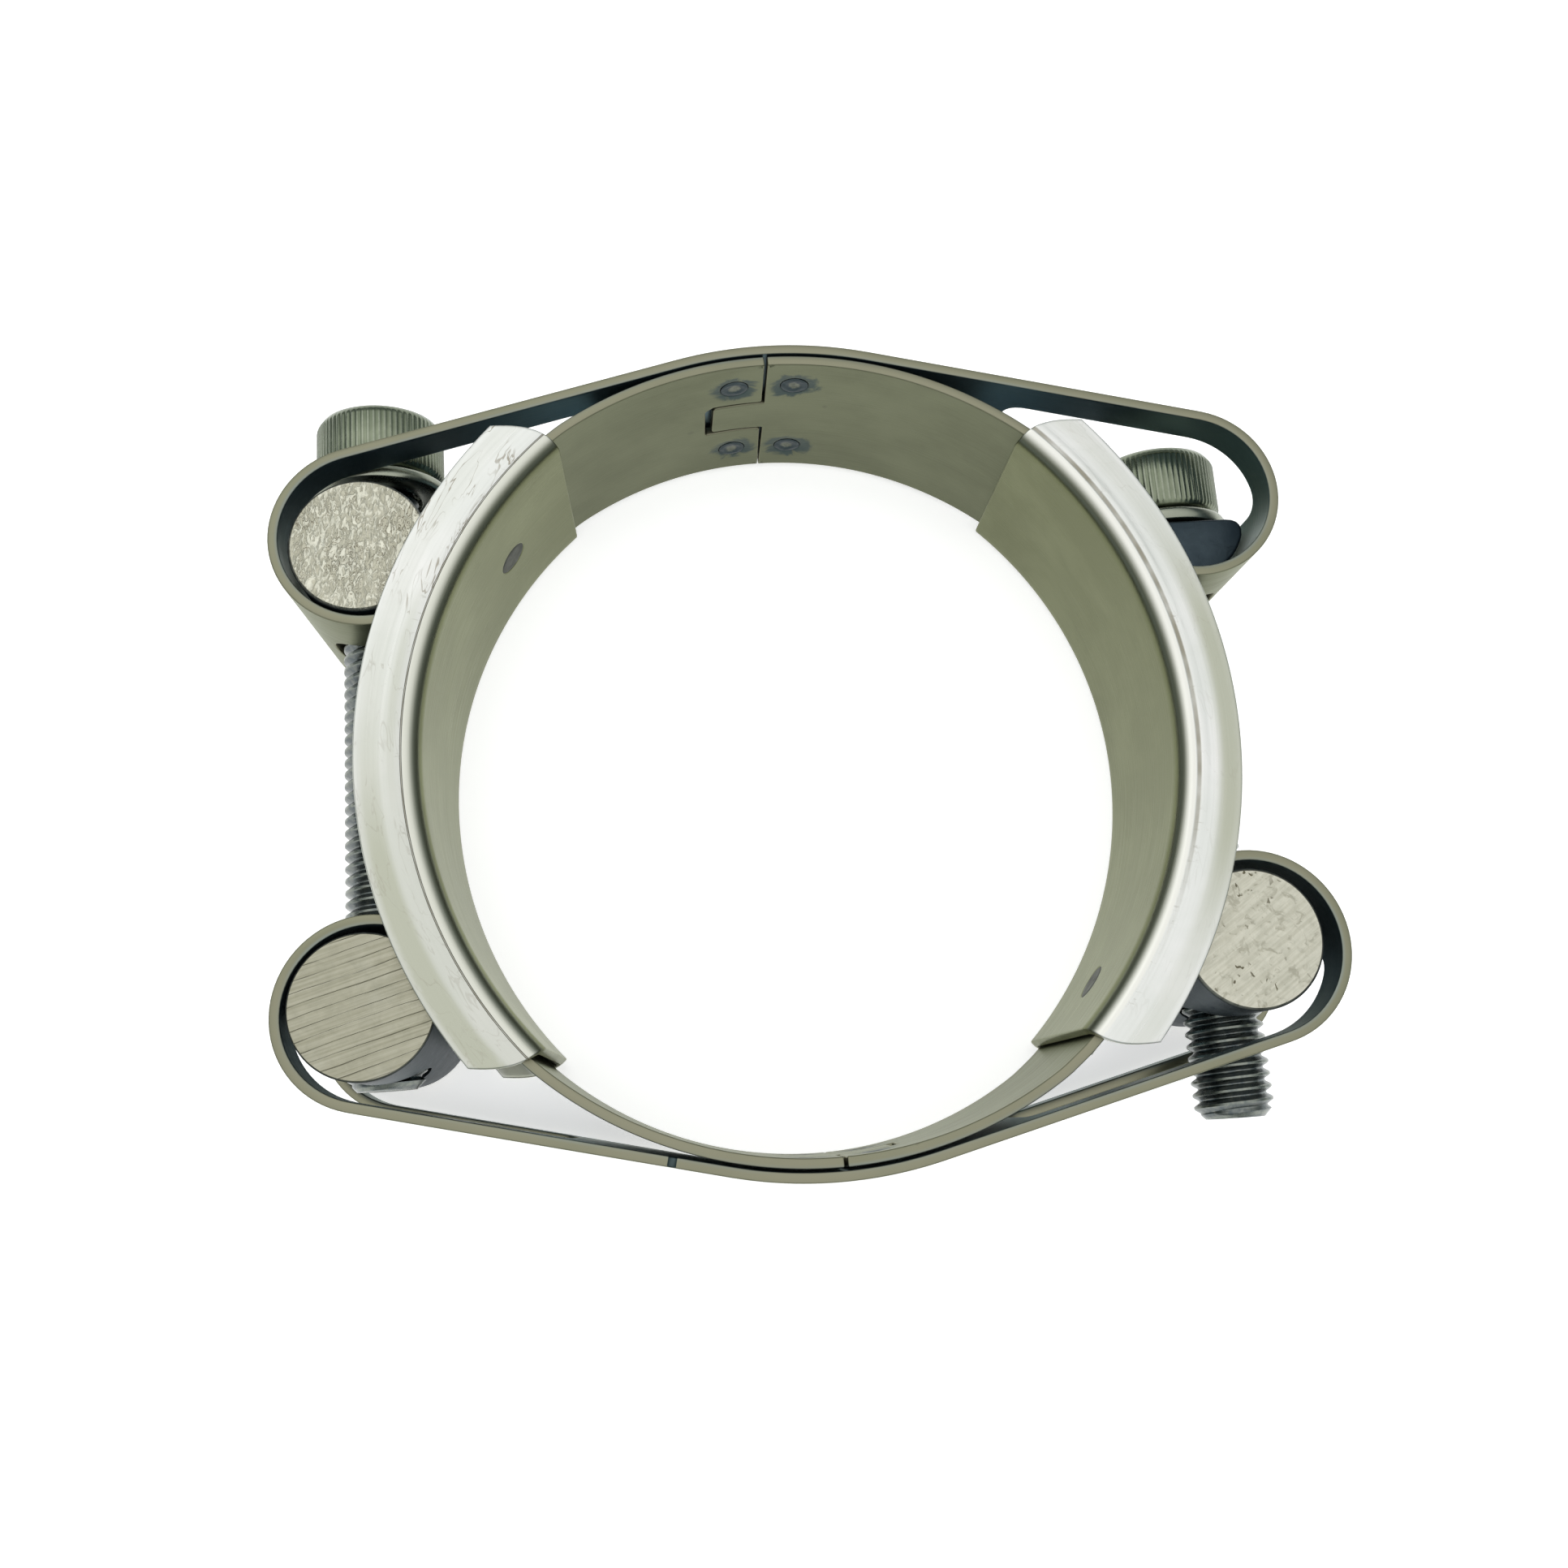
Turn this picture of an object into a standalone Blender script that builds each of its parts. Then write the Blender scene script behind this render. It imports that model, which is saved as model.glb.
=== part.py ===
"""Double-bolt band clamp for a pipe, lying flat with the pipe axis along +Z.

Two folded straps are pulled together by two long socket screws.  The screws pass through
cross-drilled bars in the strap eyes, and two curved channels bridge the gaps between straps.
Units are metres.  The origin is on the pipe axis, at the face the clamp rests on.
"""
from math import acos, atan2, cos, hypot, pi, radians, sin, tau

import bmesh
import bpy

MM = 0.001

# Driving dimensions, in millimetres.
SHEET = 1.0             # strap thickness
BAND_WIDTH = 24.0       # strap width, along the pipe
RING_RADIUS = 40.5      # pipe-side face of the strap
RUN_GAP = 0.3           # between the inner and the outer run where they are welded together
EYE_A_RADIUS = 9.6      # outside of the eye beside the riveted end of a bridge
EYE_B_RADIUS = 9.3      # outside of the eye beside the free end of a bridge

BRIDGE_SHEET = 0.9
BRIDGE_RADIUS = 42.6    # pipe-side face of a bridge, about the bridge's own centre
BRIDGE_CENTRE = (5.2, 0.3)
BRIDGE_RIM_RADIUS = 49.0
BRIDGE_FOLD = 1.8       # outside radius of the fold between web and flange
BRIDGE_WEB_SPAN = 91.0  # degrees
BRIDGE_RIM_SPAN = 82.4  # degrees
BRIDGE_MIDDLES = {"upper": 180.7, "lower": 184.2}
FIXED_GAP = 0.3         # strap to bridge at the riveted end
FREE_GAP = 0.8          # strap to bridge at the free end
SIDE_GAP = 0.3          # strap edge to flange

EYE_A_ANGLE = 157.8     # direction of each eye from the bridge centre beside it
EYE_B_ANGLE = 30.9
SLOT_WIDTH = 15.3
SLOT_START = 22.5       # distance of the slot's inner end from the middle of the clamp
SLOT_CORNER = 2.5
SHANK_HOLE = 9.8

SEAM_ANGLE = 95.4
SEAM_CUT = 0.3
TONGUE_LENGTH = 6.5
TONGUE_Z = (9.6, 15.6)
WELD_ARC = 3.3          # distance of a weld from the seam, along the strap
WELD_Z = (4.8, 19.2)
WELD_RADIUS = 1.5
RIVET_RADIUS = 1.9
RIVET_ANGLE = 148.0
HOLE_GAP = 0.35

BAR_RADIUS = 7.0
SEAT_LENGTH = 14.6
PLAIN_HOLE = 8.9
TAPPED_HOLE = 8.7

THREAD_RADIUS = 4.0
SHANK_LENGTH = 65.0
HEAD_RADIUS = 6.8
HEAD_HEIGHT = 7.0
SOCKET_ACROSS = 6.0
SOCKET_DEPTH = 4.6
WASHER_RADIUS = 7.3
WASHER_BORE = 8.8
WASHER_THICKNESS = 1.5

# Bar centres at rest.  The bars are loose in their eyes, and both screws are parallel.
UPPER_LEFT_BAR = (-44.8, 19.35)
LOWER_LEFT_BAR = (-41.62, -26.68)
LOWER_RIGHT_BAR = (44.15, -19.7)
LEFT_HEAD_TOP = 18.4    # along the screw, from the middle of its plain bar or seat
RIGHT_HEAD_TOP = 8.8

# Worked out from the driving dimensions.
STRAP_Z = BRIDGE_SHEET + SIDE_GAP
TOTAL_WIDTH = BAND_WIDTH + 2 * STRAP_Z
MIDDLE_Z = TOTAL_WIDTH / 2
APEX_RADIUS = RING_RADIUS + 2 * SHEET + RUN_GAP
BRIDGE_BACK = BRIDGE_RADIUS + BRIDGE_SHEET
LINK = (LOWER_LEFT_BAR[0] - UPPER_LEFT_BAR[0], LOWER_LEFT_BAR[1] - UPPER_LEFT_BAR[1])
UPPER_RIGHT_SEAT = (LOWER_RIGHT_BAR[0] - LINK[0], LOWER_RIGHT_BAR[1] - LINK[1])
SCREW_TILT = atan2(LINK[0], -LINK[1])

BODY = None
CUTTERS = None


def clear_scene():
    for item in list(bpy.data.objects):
        bpy.data.objects.remove(item, do_unlink=True)


def new_collection(name):
    group = bpy.data.collections.new(name)
    bpy.context.scene.collection.children.link(group)
    return group


def steel(name, colour, roughness):
    material = bpy.data.materials.new(name)
    material.use_nodes = True
    shader = material.node_tree.nodes["Principled BSDF"]
    shader.inputs["Base Color"].default_value = (*colour, 1.0)
    shader.inputs["Metallic"].default_value = 1.0
    shader.inputs["Roughness"].default_value = roughness
    return material


def polar(radius, degrees_, centre=(0.0, 0.0)):
    angle = radians(degrees_)
    return (centre[0] + radius * cos(angle), centre[1] + radius * sin(angle))


def arc(centre, radius, start, end, step):
    """Points from start to end, in degrees, no more than step apart."""
    count = max(2, round(abs(end - start) / step))
    return [polar(radius, start + (end - start) * i / count, centre) for i in range(count + 1)]


def angle_of(point, centre=(0.0, 0.0)):
    return atan2(point[1] - centre[1], point[0] - centre[0]) * 360 / tau


def place(item, parent=None, collection=None):
    (collection or BODY).objects.link(item)
    item.parent = parent
    return item


def empty(name, location=(0, 0, 0), rotation=(0, 0, 0), parent=None):
    item = bpy.data.objects.new(name, None)
    item.location = [value * MM for value in location]
    item.rotation_euler = rotation
    return place(item, parent)


def make_cutter(item):
    item.hide_render = True
    item.display_type = "WIRE"
    return item


def smooth(item, sharp=35):
    item.data.shade_smooth()
    item.data.set_sharp_from_angle(angle=radians(sharp))


def bmesh_object(name, mesh, parent, collection=None):
    bmesh.ops.recalc_face_normals(mesh, faces=mesh.faces)
    data = bpy.data.meshes.new(name)
    mesh.to_mesh(data)
    mesh.free()
    return place(bpy.data.objects.new(name, data), parent, collection)


def cylinder(name, radius, length, parent, segments=48, collection=None):
    """A cylinder along its own Z, centred on its origin."""
    mesh = bmesh.new()
    bmesh.ops.create_cone(mesh, cap_ends=True, segments=segments, radius1=radius * MM,
                          radius2=radius * MM, depth=length * MM)
    item = bmesh_object(name, mesh, parent, collection)
    smooth(item)
    return item


def block(name, size, parent, collection=None):
    mesh = bmesh.new()
    bmesh.ops.create_cube(mesh, size=1.0)
    bmesh.ops.scale(mesh, vec=[value * MM for value in size], verts=mesh.verts)
    return bmesh_object(name, mesh, parent, collection)


def turned(name, profile, parent, steps=40):
    """A Screw of (radius, height) points that run down the outer side from the axis."""
    data = bpy.data.meshes.new(name)
    points = [(radius * MM, 0.0, height * MM) for radius, height in profile]
    data.from_pydata(points, [(i, i + 1) for i in range(len(points) - 1)], [])
    item = place(bpy.data.objects.new(name, data), parent)
    screw = item.modifiers.new("Turn", "SCREW")
    screw.steps = steps
    screw.render_steps = steps
    screw.use_merge_vertices = True
    screw.merge_threshold = 0.00001
    screw.use_smooth_shade = False
    return item


def flat_outline(name, loops, thickness, parent, collection=None):
    """A mesh cut from flat stock: closed outlines in XY, made into a solid along Z."""
    curve = bpy.data.curves.new(name, "CURVE")
    curve.dimensions = "2D"
    curve.fill_mode = "BOTH"
    curve.extrude = thickness * MM / 2
    for points in loops:
        spline = curve.splines.new("POLY")
        spline.points.add(len(points) - 1)
        for point, (x, y) in zip(spline.points, points):
            point.co = (x * MM, y * MM, 0.0, 1.0)
        spline.use_cyclic_u = True
    source = place(bpy.data.objects.new(name + "_outline", curve))
    evaluated = source.evaluated_get(bpy.context.evaluated_depsgraph_get())
    data = bpy.data.meshes.new_from_object(evaluated)
    bpy.data.objects.remove(source, do_unlink=True)
    mesh = bmesh.new()
    mesh.from_mesh(data)
    bmesh.ops.remove_doubles(mesh, verts=mesh.verts, dist=0.00001)
    bpy.data.meshes.remove(data)
    return bmesh_object(name, mesh, parent, collection)


def cut(target, cutters):
    """Take each cutter away from the target."""
    for cutter in cutters:
        make_cutter(cutter)
        boolean = target.modifiers.new("Cut " + cutter.name, "BOOLEAN")
        boolean.operation = "DIFFERENCE"
        boolean.solver = "EXACT"
        boolean.object = cutter


def eye_centre(side):
    """Centre of an eye of the upper strap: side A is at the left, side B at the right."""
    if side == "A":
        return polar(BRIDGE_BACK + FIXED_GAP + EYE_A_RADIUS, EYE_A_ANGLE, BRIDGE_CENTRE)
    away = (-BRIDGE_CENTRE[0], -BRIDGE_CENTRE[1])
    return polar(BRIDGE_BACK + FREE_GAP + EYE_B_RADIUS, EYE_B_ANGLE, away)


def leg_start(radius, ring, centre, upward):
    """Angle about centre at which a circle round it meets the ring circle."""
    offset = hypot(*centre)
    swing = acos((ring ** 2 - offset ** 2 - radius ** 2) / (2 * offset * radius)) * 360 / tau
    return angle_of(centre) + (swing if upward else -swing)


def outer_run_normal(eye, radius, turn):
    """Direction square to the straight run between an eye and the middle of the strap."""
    swing = acos((APEX_RADIUS - radius) / hypot(*eye)) * 360 / tau
    return angle_of(eye) + turn * swing


def strap_loop(inset):
    """Closed outline of the upper strap, inset from its pipe-side face."""
    ring = RING_RADIUS + inset
    left = BRIDGE_CENTRE
    right = (-left[0], -left[1])
    eye_a, eye_b = eye_centre("A"), eye_centre("B")
    leg_a = BRIDGE_BACK + FIXED_GAP + inset
    leg_b = BRIDGE_BACK + FREE_GAP + inset
    start_a = leg_start(leg_a, ring, left, True)
    start_b = leg_start(leg_b, ring, right, False)
    join_a = angle_of(polar(leg_a, start_a, left))
    join_b = angle_of(polar(leg_b, start_b, right))
    normal_a = outer_run_normal(eye_a, EYE_A_RADIUS, -1)
    normal_b = outer_run_normal(eye_b, EYE_B_RADIUS, 1)
    points = arc((0, 0), ring, join_b + 2, join_a - 2, 4)
    points += arc(left, leg_a, start_a + 2, EYE_A_ANGLE, 4)
    points += arc(eye_a, EYE_A_RADIUS - inset, EYE_A_ANGLE - 180, normal_a - 360, 8)[1:]
    points += arc((0, 0), APEX_RADIUS - inset, normal_a, normal_b, 4)
    points += arc(eye_b, EYE_B_RADIUS - inset, normal_b, EYE_B_ANGLE - 180, 8)
    points += arc(right, leg_b, EYE_B_ANGLE, start_b - 2 + 360, 4)[1:]
    return points


def slot_cutter(name, side, half):
    """The long slot through the outer run and round the outside of an eye."""
    turn = -1 if side == "A" else 1
    eye = eye_centre(side)
    outside = eye[0] + turn * 14.0
    start = turn * SLOT_START
    between_runs = (RING_RADIUS + SHEET + APEX_RADIUS - SHEET) / 2
    corners = [(start, (between_runs ** 2 - start ** 2) ** 0.5 + 0.3), (eye[0], eye[1]),
               (outside, eye[1]), (outside, eye[1] + 16.0), (start, eye[1] + 24.0)]
    mesh = bmesh.new()
    low = (MIDDLE_Z - SLOT_WIDTH / 2) * MM
    face = mesh.faces.new([mesh.verts.new((x * MM, y * MM, low)) for x, y in corners])
    grown = bmesh.ops.extrude_face_region(mesh, geom=[face])["geom"]
    risen = [item for item in grown if isinstance(item, bmesh.types.BMVert)]
    bmesh.ops.translate(mesh, verts=risen, vec=(0, 0, SLOT_WIDTH * MM))
    ends = [edge for edge in mesh.edges
            if abs(edge.verts[0].co.z - edge.verts[1].co.z) < 1e-6
            and (all(abs(v.co.x - start * MM) < 1e-6 for v in edge.verts)
                 or all(abs(v.co.y - eye[1] * MM) < 1e-6 for v in edge.verts))]
    bmesh.ops.bevel(mesh, geom=ends, offset=SLOT_CORNER * MM, segments=4, profile=0.5,
                    affect="EDGES")
    return bmesh_object(name, mesh, half, CUTTERS)


def radial(item, angle, radius, height, centre=(0.0, 0.0)):
    """Stand an object on a ring: its own X runs round the ring, its own Z points outward."""
    x, y = polar(radius, angle, centre)
    item.location = (x * MM, y * MM, height * MM)
    item.rotation_euler = (-pi / 2, 0, radians(angle) - pi / 2)
    return item


def seam_cutters(name, half):
    """The tongue-and-groove joint between the two ends of the strap, as a thin gap."""
    arc_degrees = 360 / (tau * RING_RADIUS)
    low, high = TONGUE_Z
    depth = SHEET + RUN_GAP
    radius = RING_RADIUS + (SHEET + RUN_GAP / 2) / 2
    full = BAND_WIDTH + 2
    spans = [  # along the strap from the seam, across the band
        ((-SEAM_CUT / 2, SEAM_CUT / 2), (high - SEAM_CUT / 2, full)),
        ((-SEAM_CUT / 2, SEAM_CUT / 2), (-2, low + SEAM_CUT / 2)),
        ((-SEAM_CUT / 2, TONGUE_LENGTH), (high - SEAM_CUT / 2, high + SEAM_CUT / 2)),
        ((-SEAM_CUT / 2, TONGUE_LENGTH), (low - SEAM_CUT / 2, low + SEAM_CUT / 2)),
        ((TONGUE_LENGTH - SEAM_CUT, TONGUE_LENGTH), (low, high)),
    ]
    cutters = []
    for number, ((near, far), (bottom, top)) in enumerate(spans):
        size = (far - near, top - bottom, depth + SHEET / 4)
        item = block(f"{name}_seam_{number}", size, half, CUTTERS)
        angle = SEAM_ANGLE + (near + far) / 2 * arc_degrees
        radial(item, angle, radius - SHEET / 8, STRAP_Z + (bottom + top) / 2)
        cutters.append(item)
    return cutters


def weld_places():
    arc_degrees = WELD_ARC / RING_RADIUS * 360 / tau
    return [(SEAM_ANGLE + turn * arc_degrees, STRAP_Z + z) for z in WELD_Z for turn in (1, -1)]


def make_strap(half_name, half, material):
    name = half_name + "_strap"
    strap = flat_outline(name, [strap_loop(0.0), strap_loop(SHEET)], BAND_WIDTH, half)
    strap.location.z = MIDDLE_Z * MM
    cutters = [slot_cutter(f"{name}_slot_{side}", side, half) for side in "AB"]
    for side, bar in zip("AB", bars_of_upper_shape(half_name)):
        hole = cylinder(f"{name}_shank_hole_{side}", SHANK_HOLE / 2, 16.0, half, 40, CUTTERS)
        hole.location = ((bar[0] + 8.0 * sin(SCREW_TILT)) * MM,
                         (bar[1] - 8.0 * cos(SCREW_TILT)) * MM, MIDDLE_Z * MM)
        hole.rotation_euler = (-pi / 2, 0, SCREW_TILT)
        cutters.append(hole)
    cutters += seam_cutters(name, half)
    for number, (angle, height) in enumerate(weld_places()):
        hole = cylinder(f"{name}_weld_hole_{number}", WELD_RADIUS + HOLE_GAP, 1.4, half, 20,
                        CUTTERS)
        cutters.append(radial(hole, angle, RING_RADIUS + SHEET / 2 - 0.05, height))
    hole = cylinder(f"{name}_rivet_hole", RIVET_RADIUS + HOLE_GAP, 3.0, half, 28, CUTTERS)
    cutters.append(radial(hole, RIVET_ANGLE, BRIDGE_BACK + FIXED_GAP + SHEET / 2, MIDDLE_Z,
                          BRIDGE_CENTRE))
    cut(strap, cutters)
    strap.data.materials.append(material)
    smooth(strap, 20)
    return strap


def bars_of_upper_shape(half_name):
    """Bar centres in eyes A and B, in the half's own frame."""
    if half_name == "upper":
        return UPPER_LEFT_BAR, UPPER_RIGHT_SEAT
    return tuple((-x, -y) for x, y in (LOWER_RIGHT_BAR, LOWER_LEFT_BAR))


def bridge_section():
    """Outline of the channel as (radius, height), round the bridge's own centre."""
    inside, fold, sheet = BRIDGE_RADIUS, BRIDGE_FOLD, BRIDGE_SHEET
    bend = inside + fold
    low, high = (bend, fold), (bend, TOTAL_WIDTH - fold)
    points = [(BRIDGE_RIM_RADIUS, 0.0)]
    points += arc(low, fold, 270, 180, 22.5)
    points += arc(high, fold, 180, 90, 22.5)
    points += [(BRIDGE_RIM_RADIUS, TOTAL_WIDTH), (BRIDGE_RIM_RADIUS, TOTAL_WIDTH - sheet)]
    points += arc(high, fold - sheet, 90, 180, 30)
    points += arc(low, fold - sheet, 180, 270, 30)
    points += [(BRIDGE_RIM_RADIUS, sheet)]
    return points


def make_bridge(name, middle, half, material, stations=28):
    """A channel rolled to an arc, its flanges ending a little short of its web."""
    section = bridge_section()
    height = BRIDGE_RIM_RADIUS - BRIDGE_RADIUS
    mesh = bmesh.new()
    rings = []
    for station in range(stations + 1):
        along = 2 * station / stations - 1
        ring = []
        for radius, z in section:
            taper = (radius - BRIDGE_RADIUS) / height
            span = BRIDGE_WEB_SPAN + (BRIDGE_RIM_SPAN - BRIDGE_WEB_SPAN) * taper
            x, y = polar(radius, middle + along * span / 2, BRIDGE_CENTRE)
            ring.append(mesh.verts.new((x * MM, y * MM, z * MM)))
        rings.append(ring)
    count = len(section)
    for first, second in zip(rings, rings[1:]):
        for i in range(count):
            j = (i + 1) % count
            mesh.faces.new((first[i], first[j], second[j], second[i]))
    mesh.faces.new(rings[0])
    mesh.faces.new(reversed(rings[-1]))
    bridge = bmesh_object(name, mesh, half)
    hole = cylinder(name + "_rivet_hole", RIVET_RADIUS + HOLE_GAP, 2.4, half, 28, CUTTERS)
    radial(hole, RIVET_ANGLE, BRIDGE_RADIUS + BRIDGE_SHEET / 2, MIDDLE_Z, BRIDGE_CENTRE)
    cut(bridge, [hole])
    bridge.data.materials.append(material)
    smooth(bridge, 30)
    return bridge


def make_fastenings(half_name, side, half, material):
    """The rivet through bridge and strap, and the four spot welds beside the seam."""
    grip = BRIDGE_SHEET + FIXED_GAP + SHEET
    rivet = cylinder(f"{side}_bridge_rivet", RIVET_RADIUS, grip, half, 28)
    radial(rivet, RIVET_ANGLE, BRIDGE_RADIUS + grip / 2, MIDDLE_Z, BRIDGE_CENTRE)
    rivet.data.materials.append(material)
    for number, (angle, height) in enumerate(weld_places(), 1):
        weld = cylinder(f"{half_name}_spot_weld_{number}", WELD_RADIUS, SHEET, half, 20)
        radial(weld, angle, RING_RADIUS + SHEET / 2, height)
        weld.data.materials.append(material)


def make_half(half_name, turn, side, steel_band, steel_weld):
    half = empty(half_name + "_half", rotation=(0, 0, turn))
    make_strap(half_name, half, steel_band)
    make_bridge(side + "_bridge", BRIDGE_MIDDLES[half_name], half, steel_band)
    make_fastenings(half_name, side, half, steel_weld)


def make_bar(name, centre, hole, material):
    """A round bar across the strap, drilled across its middle for the screw."""
    bar = cylinder(name, BAR_RADIUS, BAND_WIDTH, None, 56)
    bar.location = (centre[0] * MM, centre[1] * MM, MIDDLE_Z * MM)
    drill = cylinder(name + "_drill", hole / 2, 20.0, None, 36, CUTTERS)
    drill.location = bar.location
    drill.rotation_euler = (-pi / 2, 0, SCREW_TILT)
    cut(bar, [drill])
    bar.data.materials.append(material)
    return bar


def make_seat(name, centre, material):
    """A half-round seat: the washer rests on its flat, and its round back fills the eye."""
    flat = RIGHT_HEAD_TOP - HEAD_HEIGHT - WASHER_THICKNESS - 2 * HOLE_GAP
    swing = atan2(flat, BAR_RADIUS) * 360 / tau
    tilt = SCREW_TILT * 360 / tau
    outline = arc((0, 0), BAR_RADIUS, 180 - swing + tilt, 360 + swing + tilt, 7)
    seat = flat_outline(name, [outline], SEAT_LENGTH, None)
    seat.location = (centre[0] * MM, centre[1] * MM, MIDDLE_Z * MM)
    drill = cylinder(name + "_drill", PLAIN_HOLE / 2, 20.0, None, 36, CUTTERS)
    drill.location = seat.location
    drill.rotation_euler = (-pi / 2, 0, SCREW_TILT)
    cut(seat, [drill])
    seat.data.materials.append(material)
    smooth(seat)
    return seat


def make_screw(side, centre, head_top, steel_screw, steel_washer):
    """A socket head screw and its washer, on an axis through a bar's middle."""
    axis = empty(side + "_screw_axis", (*centre, MIDDLE_Z), (-pi / 2, 0, SCREW_TILT))
    head_bottom = head_top - HEAD_HEIGHT
    end = head_bottom - SHANK_LENGTH
    profile = [(0, head_top), (HEAD_RADIUS - 0.8, head_top), (HEAD_RADIUS, head_top - 0.8),
               (HEAD_RADIUS, head_bottom), (THREAD_RADIUS, head_bottom),
               (THREAD_RADIUS, end + 0.8), (THREAD_RADIUS - 0.8, end), (0, end)]
    screw = turned(side + "_bolt", profile, axis)
    socket = cylinder(side + "_bolt_socket", SOCKET_ACROSS / 2 / cos(pi / 6),
                      2 * SOCKET_DEPTH, axis, 6, CUTTERS)
    socket.location.z = head_top * MM
    cut(screw, [socket])
    screw.data.materials.append(steel_screw)
    middle = head_bottom - HOLE_GAP - WASHER_THICKNESS / 2
    washer = cylinder(side + "_washer", WASHER_RADIUS, WASHER_THICKNESS, axis, 40)
    washer.location.z = middle * MM
    bore = cylinder(side + "_washer_bore", WASHER_BORE / 2, 4.0, axis, 36, CUTTERS)
    bore.location.z = middle * MM
    cut(washer, [bore])
    washer.data.materials.append(steel_washer)


def main():
    global BODY, CUTTERS
    clear_scene()
    BODY = new_collection("pipe_repair_clamp")
    CUTTERS = new_collection("cutters")
    band = steel("brushed_stainless", (0.56, 0.56, 0.50), 0.32)
    weld = steel("weld_metal", (0.30, 0.29, 0.25), 0.45)
    sawn = steel("sawn_bar", (0.62, 0.61, 0.54), 0.50)
    screw = steel("screw_steel", (0.42, 0.47, 0.44), 0.28)
    make_half("upper", 0.0, "left", band, weld)
    make_half("lower", pi, "right", band, weld)
    make_bar("upper_left_trunnion", UPPER_LEFT_BAR, PLAIN_HOLE, sawn)
    make_bar("lower_left_trunnion", LOWER_LEFT_BAR, TAPPED_HOLE, sawn)
    make_bar("lower_right_trunnion", LOWER_RIGHT_BAR, TAPPED_HOLE, sawn)
    make_seat("upper_right_seat", UPPER_RIGHT_SEAT, sawn)
    make_screw("left", UPPER_LEFT_BAR, LEFT_HEAD_TOP, screw, band)
    make_screw("right", UPPER_RIGHT_SEAT, RIGHT_HEAD_TOP, screw, band)


main()
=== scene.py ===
"""The visible model of a double-bolt band clamp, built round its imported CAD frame.

Lengths are millimetres, turned into metres where meshes are made. Only the floor, the light, the
camera, the depths of bumps and names that end in _M or _m are in metres, and materials count
features a metre. The clamp lies flat, with the pipe axis along +Z.
"""
import random
from math import acos, atan2, cos, degrees, hypot, pi, radians, sin, tau

import bmesh
import bpy
import numpy as np
from mathutils import Matrix, Vector, noise
from mathutils.geometry import delaunay_2d_cdt


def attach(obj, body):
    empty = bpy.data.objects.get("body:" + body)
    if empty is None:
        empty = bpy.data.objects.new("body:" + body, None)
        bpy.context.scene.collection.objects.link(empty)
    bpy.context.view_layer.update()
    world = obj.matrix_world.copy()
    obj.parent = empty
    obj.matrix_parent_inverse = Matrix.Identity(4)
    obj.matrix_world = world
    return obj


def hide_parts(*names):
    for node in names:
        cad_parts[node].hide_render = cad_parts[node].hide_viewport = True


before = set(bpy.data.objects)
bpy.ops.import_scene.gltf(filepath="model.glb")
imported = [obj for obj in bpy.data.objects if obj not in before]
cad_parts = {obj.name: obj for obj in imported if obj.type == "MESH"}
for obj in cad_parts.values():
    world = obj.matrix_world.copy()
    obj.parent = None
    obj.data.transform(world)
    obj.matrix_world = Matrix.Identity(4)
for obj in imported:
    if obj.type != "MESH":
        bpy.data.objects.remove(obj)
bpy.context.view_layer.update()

MM = 0.001

# Straps and bridges, as in the CAD.
SHEET = 1.0
BAND_WIDTH = 24.0
RING_RADIUS = 40.5
RUN_GAP = 0.3
EYE_A_RADIUS = 9.6
EYE_B_RADIUS = 9.3
BRIDGE_SHEET = 0.9
BRIDGE_RADIUS = 42.6
BRIDGE_CENTRE = (5.2, 0.3)
BRIDGE_RIM_RADIUS = 49.0
BRIDGE_FOLD = 1.8
BRIDGE_WEB_SPAN = 91.0
BRIDGE_RIM_SPAN = 82.4
CORNER_BULGE = 1.1
BRIDGE_MIDDLES = {"upper": 180.7, "lower": 184.2}
FIXED_GAP = 0.3
FREE_GAP = 0.8
SIDE_GAP = 0.3
EYE_A_ANGLE = 157.8
EYE_B_ANGLE = 30.9
SLOT_WIDTH = 15.3
SLOT_START = 22.5
SLOT_CORNER = 2.5
SHANK_HOLE = 9.8
SHANK_EXIT = 9.0
SEAM_ANGLE = 95.4
SEAM_GAP = 0.3
TONGUE_LENGTH = 6.5
TONGUE_Z = (9.6, 15.6)
WELD_ARC = 3.3
WELD_Z = (4.8, 19.2)
WELD_RADIUS = 1.5
WELD_PLAY = 0.02
RIVET_RADIUS = 1.9
RIVET_ANGLE = 148.0
RIVET_PLAY = 0.03
PUNCH_MARK = (12.3, 41.7)

# Bars and screws.
BAR_RADIUS = 7.0
SEAT_LENGTH = 14.6
PLAIN_HOLE = 8.9
TAPPED_HOLE = 8.7
THREAD_RADIUS = 4.0
THREAD_PITCH = 1.25
THREAD_DEPTH = 0.62
# Share of the pitch and of the depth, from the middle of one crest to the next.
THREAD_PROFILE = ((-0.09, 0.0), (0.09, 0.0), (0.20, 0.25), (0.40, 0.92), (0.5, 1.0),
                  (0.60, 0.92), (0.80, 0.25))
SHANK_LENGTH = 65.0
HEAD_RADIUS = 6.8
HEAD_HEIGHT = 7.0
SOCKET_ACROSS = 6.0
SOCKET_DEPTH = 4.6
WASHER_RADIUS = 7.3
WASHER_BORE = 8.8
WASHER_THICKNESS = 1.5
CLEARANCE = 0.35
UPPER_LEFT_BAR = (-44.8, 19.35)
LOWER_LEFT_BAR = (-41.62, -26.68)
LOWER_RIGHT_BAR = (44.15, -19.7)
LEFT_HEAD_TOP = 18.4
RIGHT_HEAD_TOP = 8.8

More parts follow.
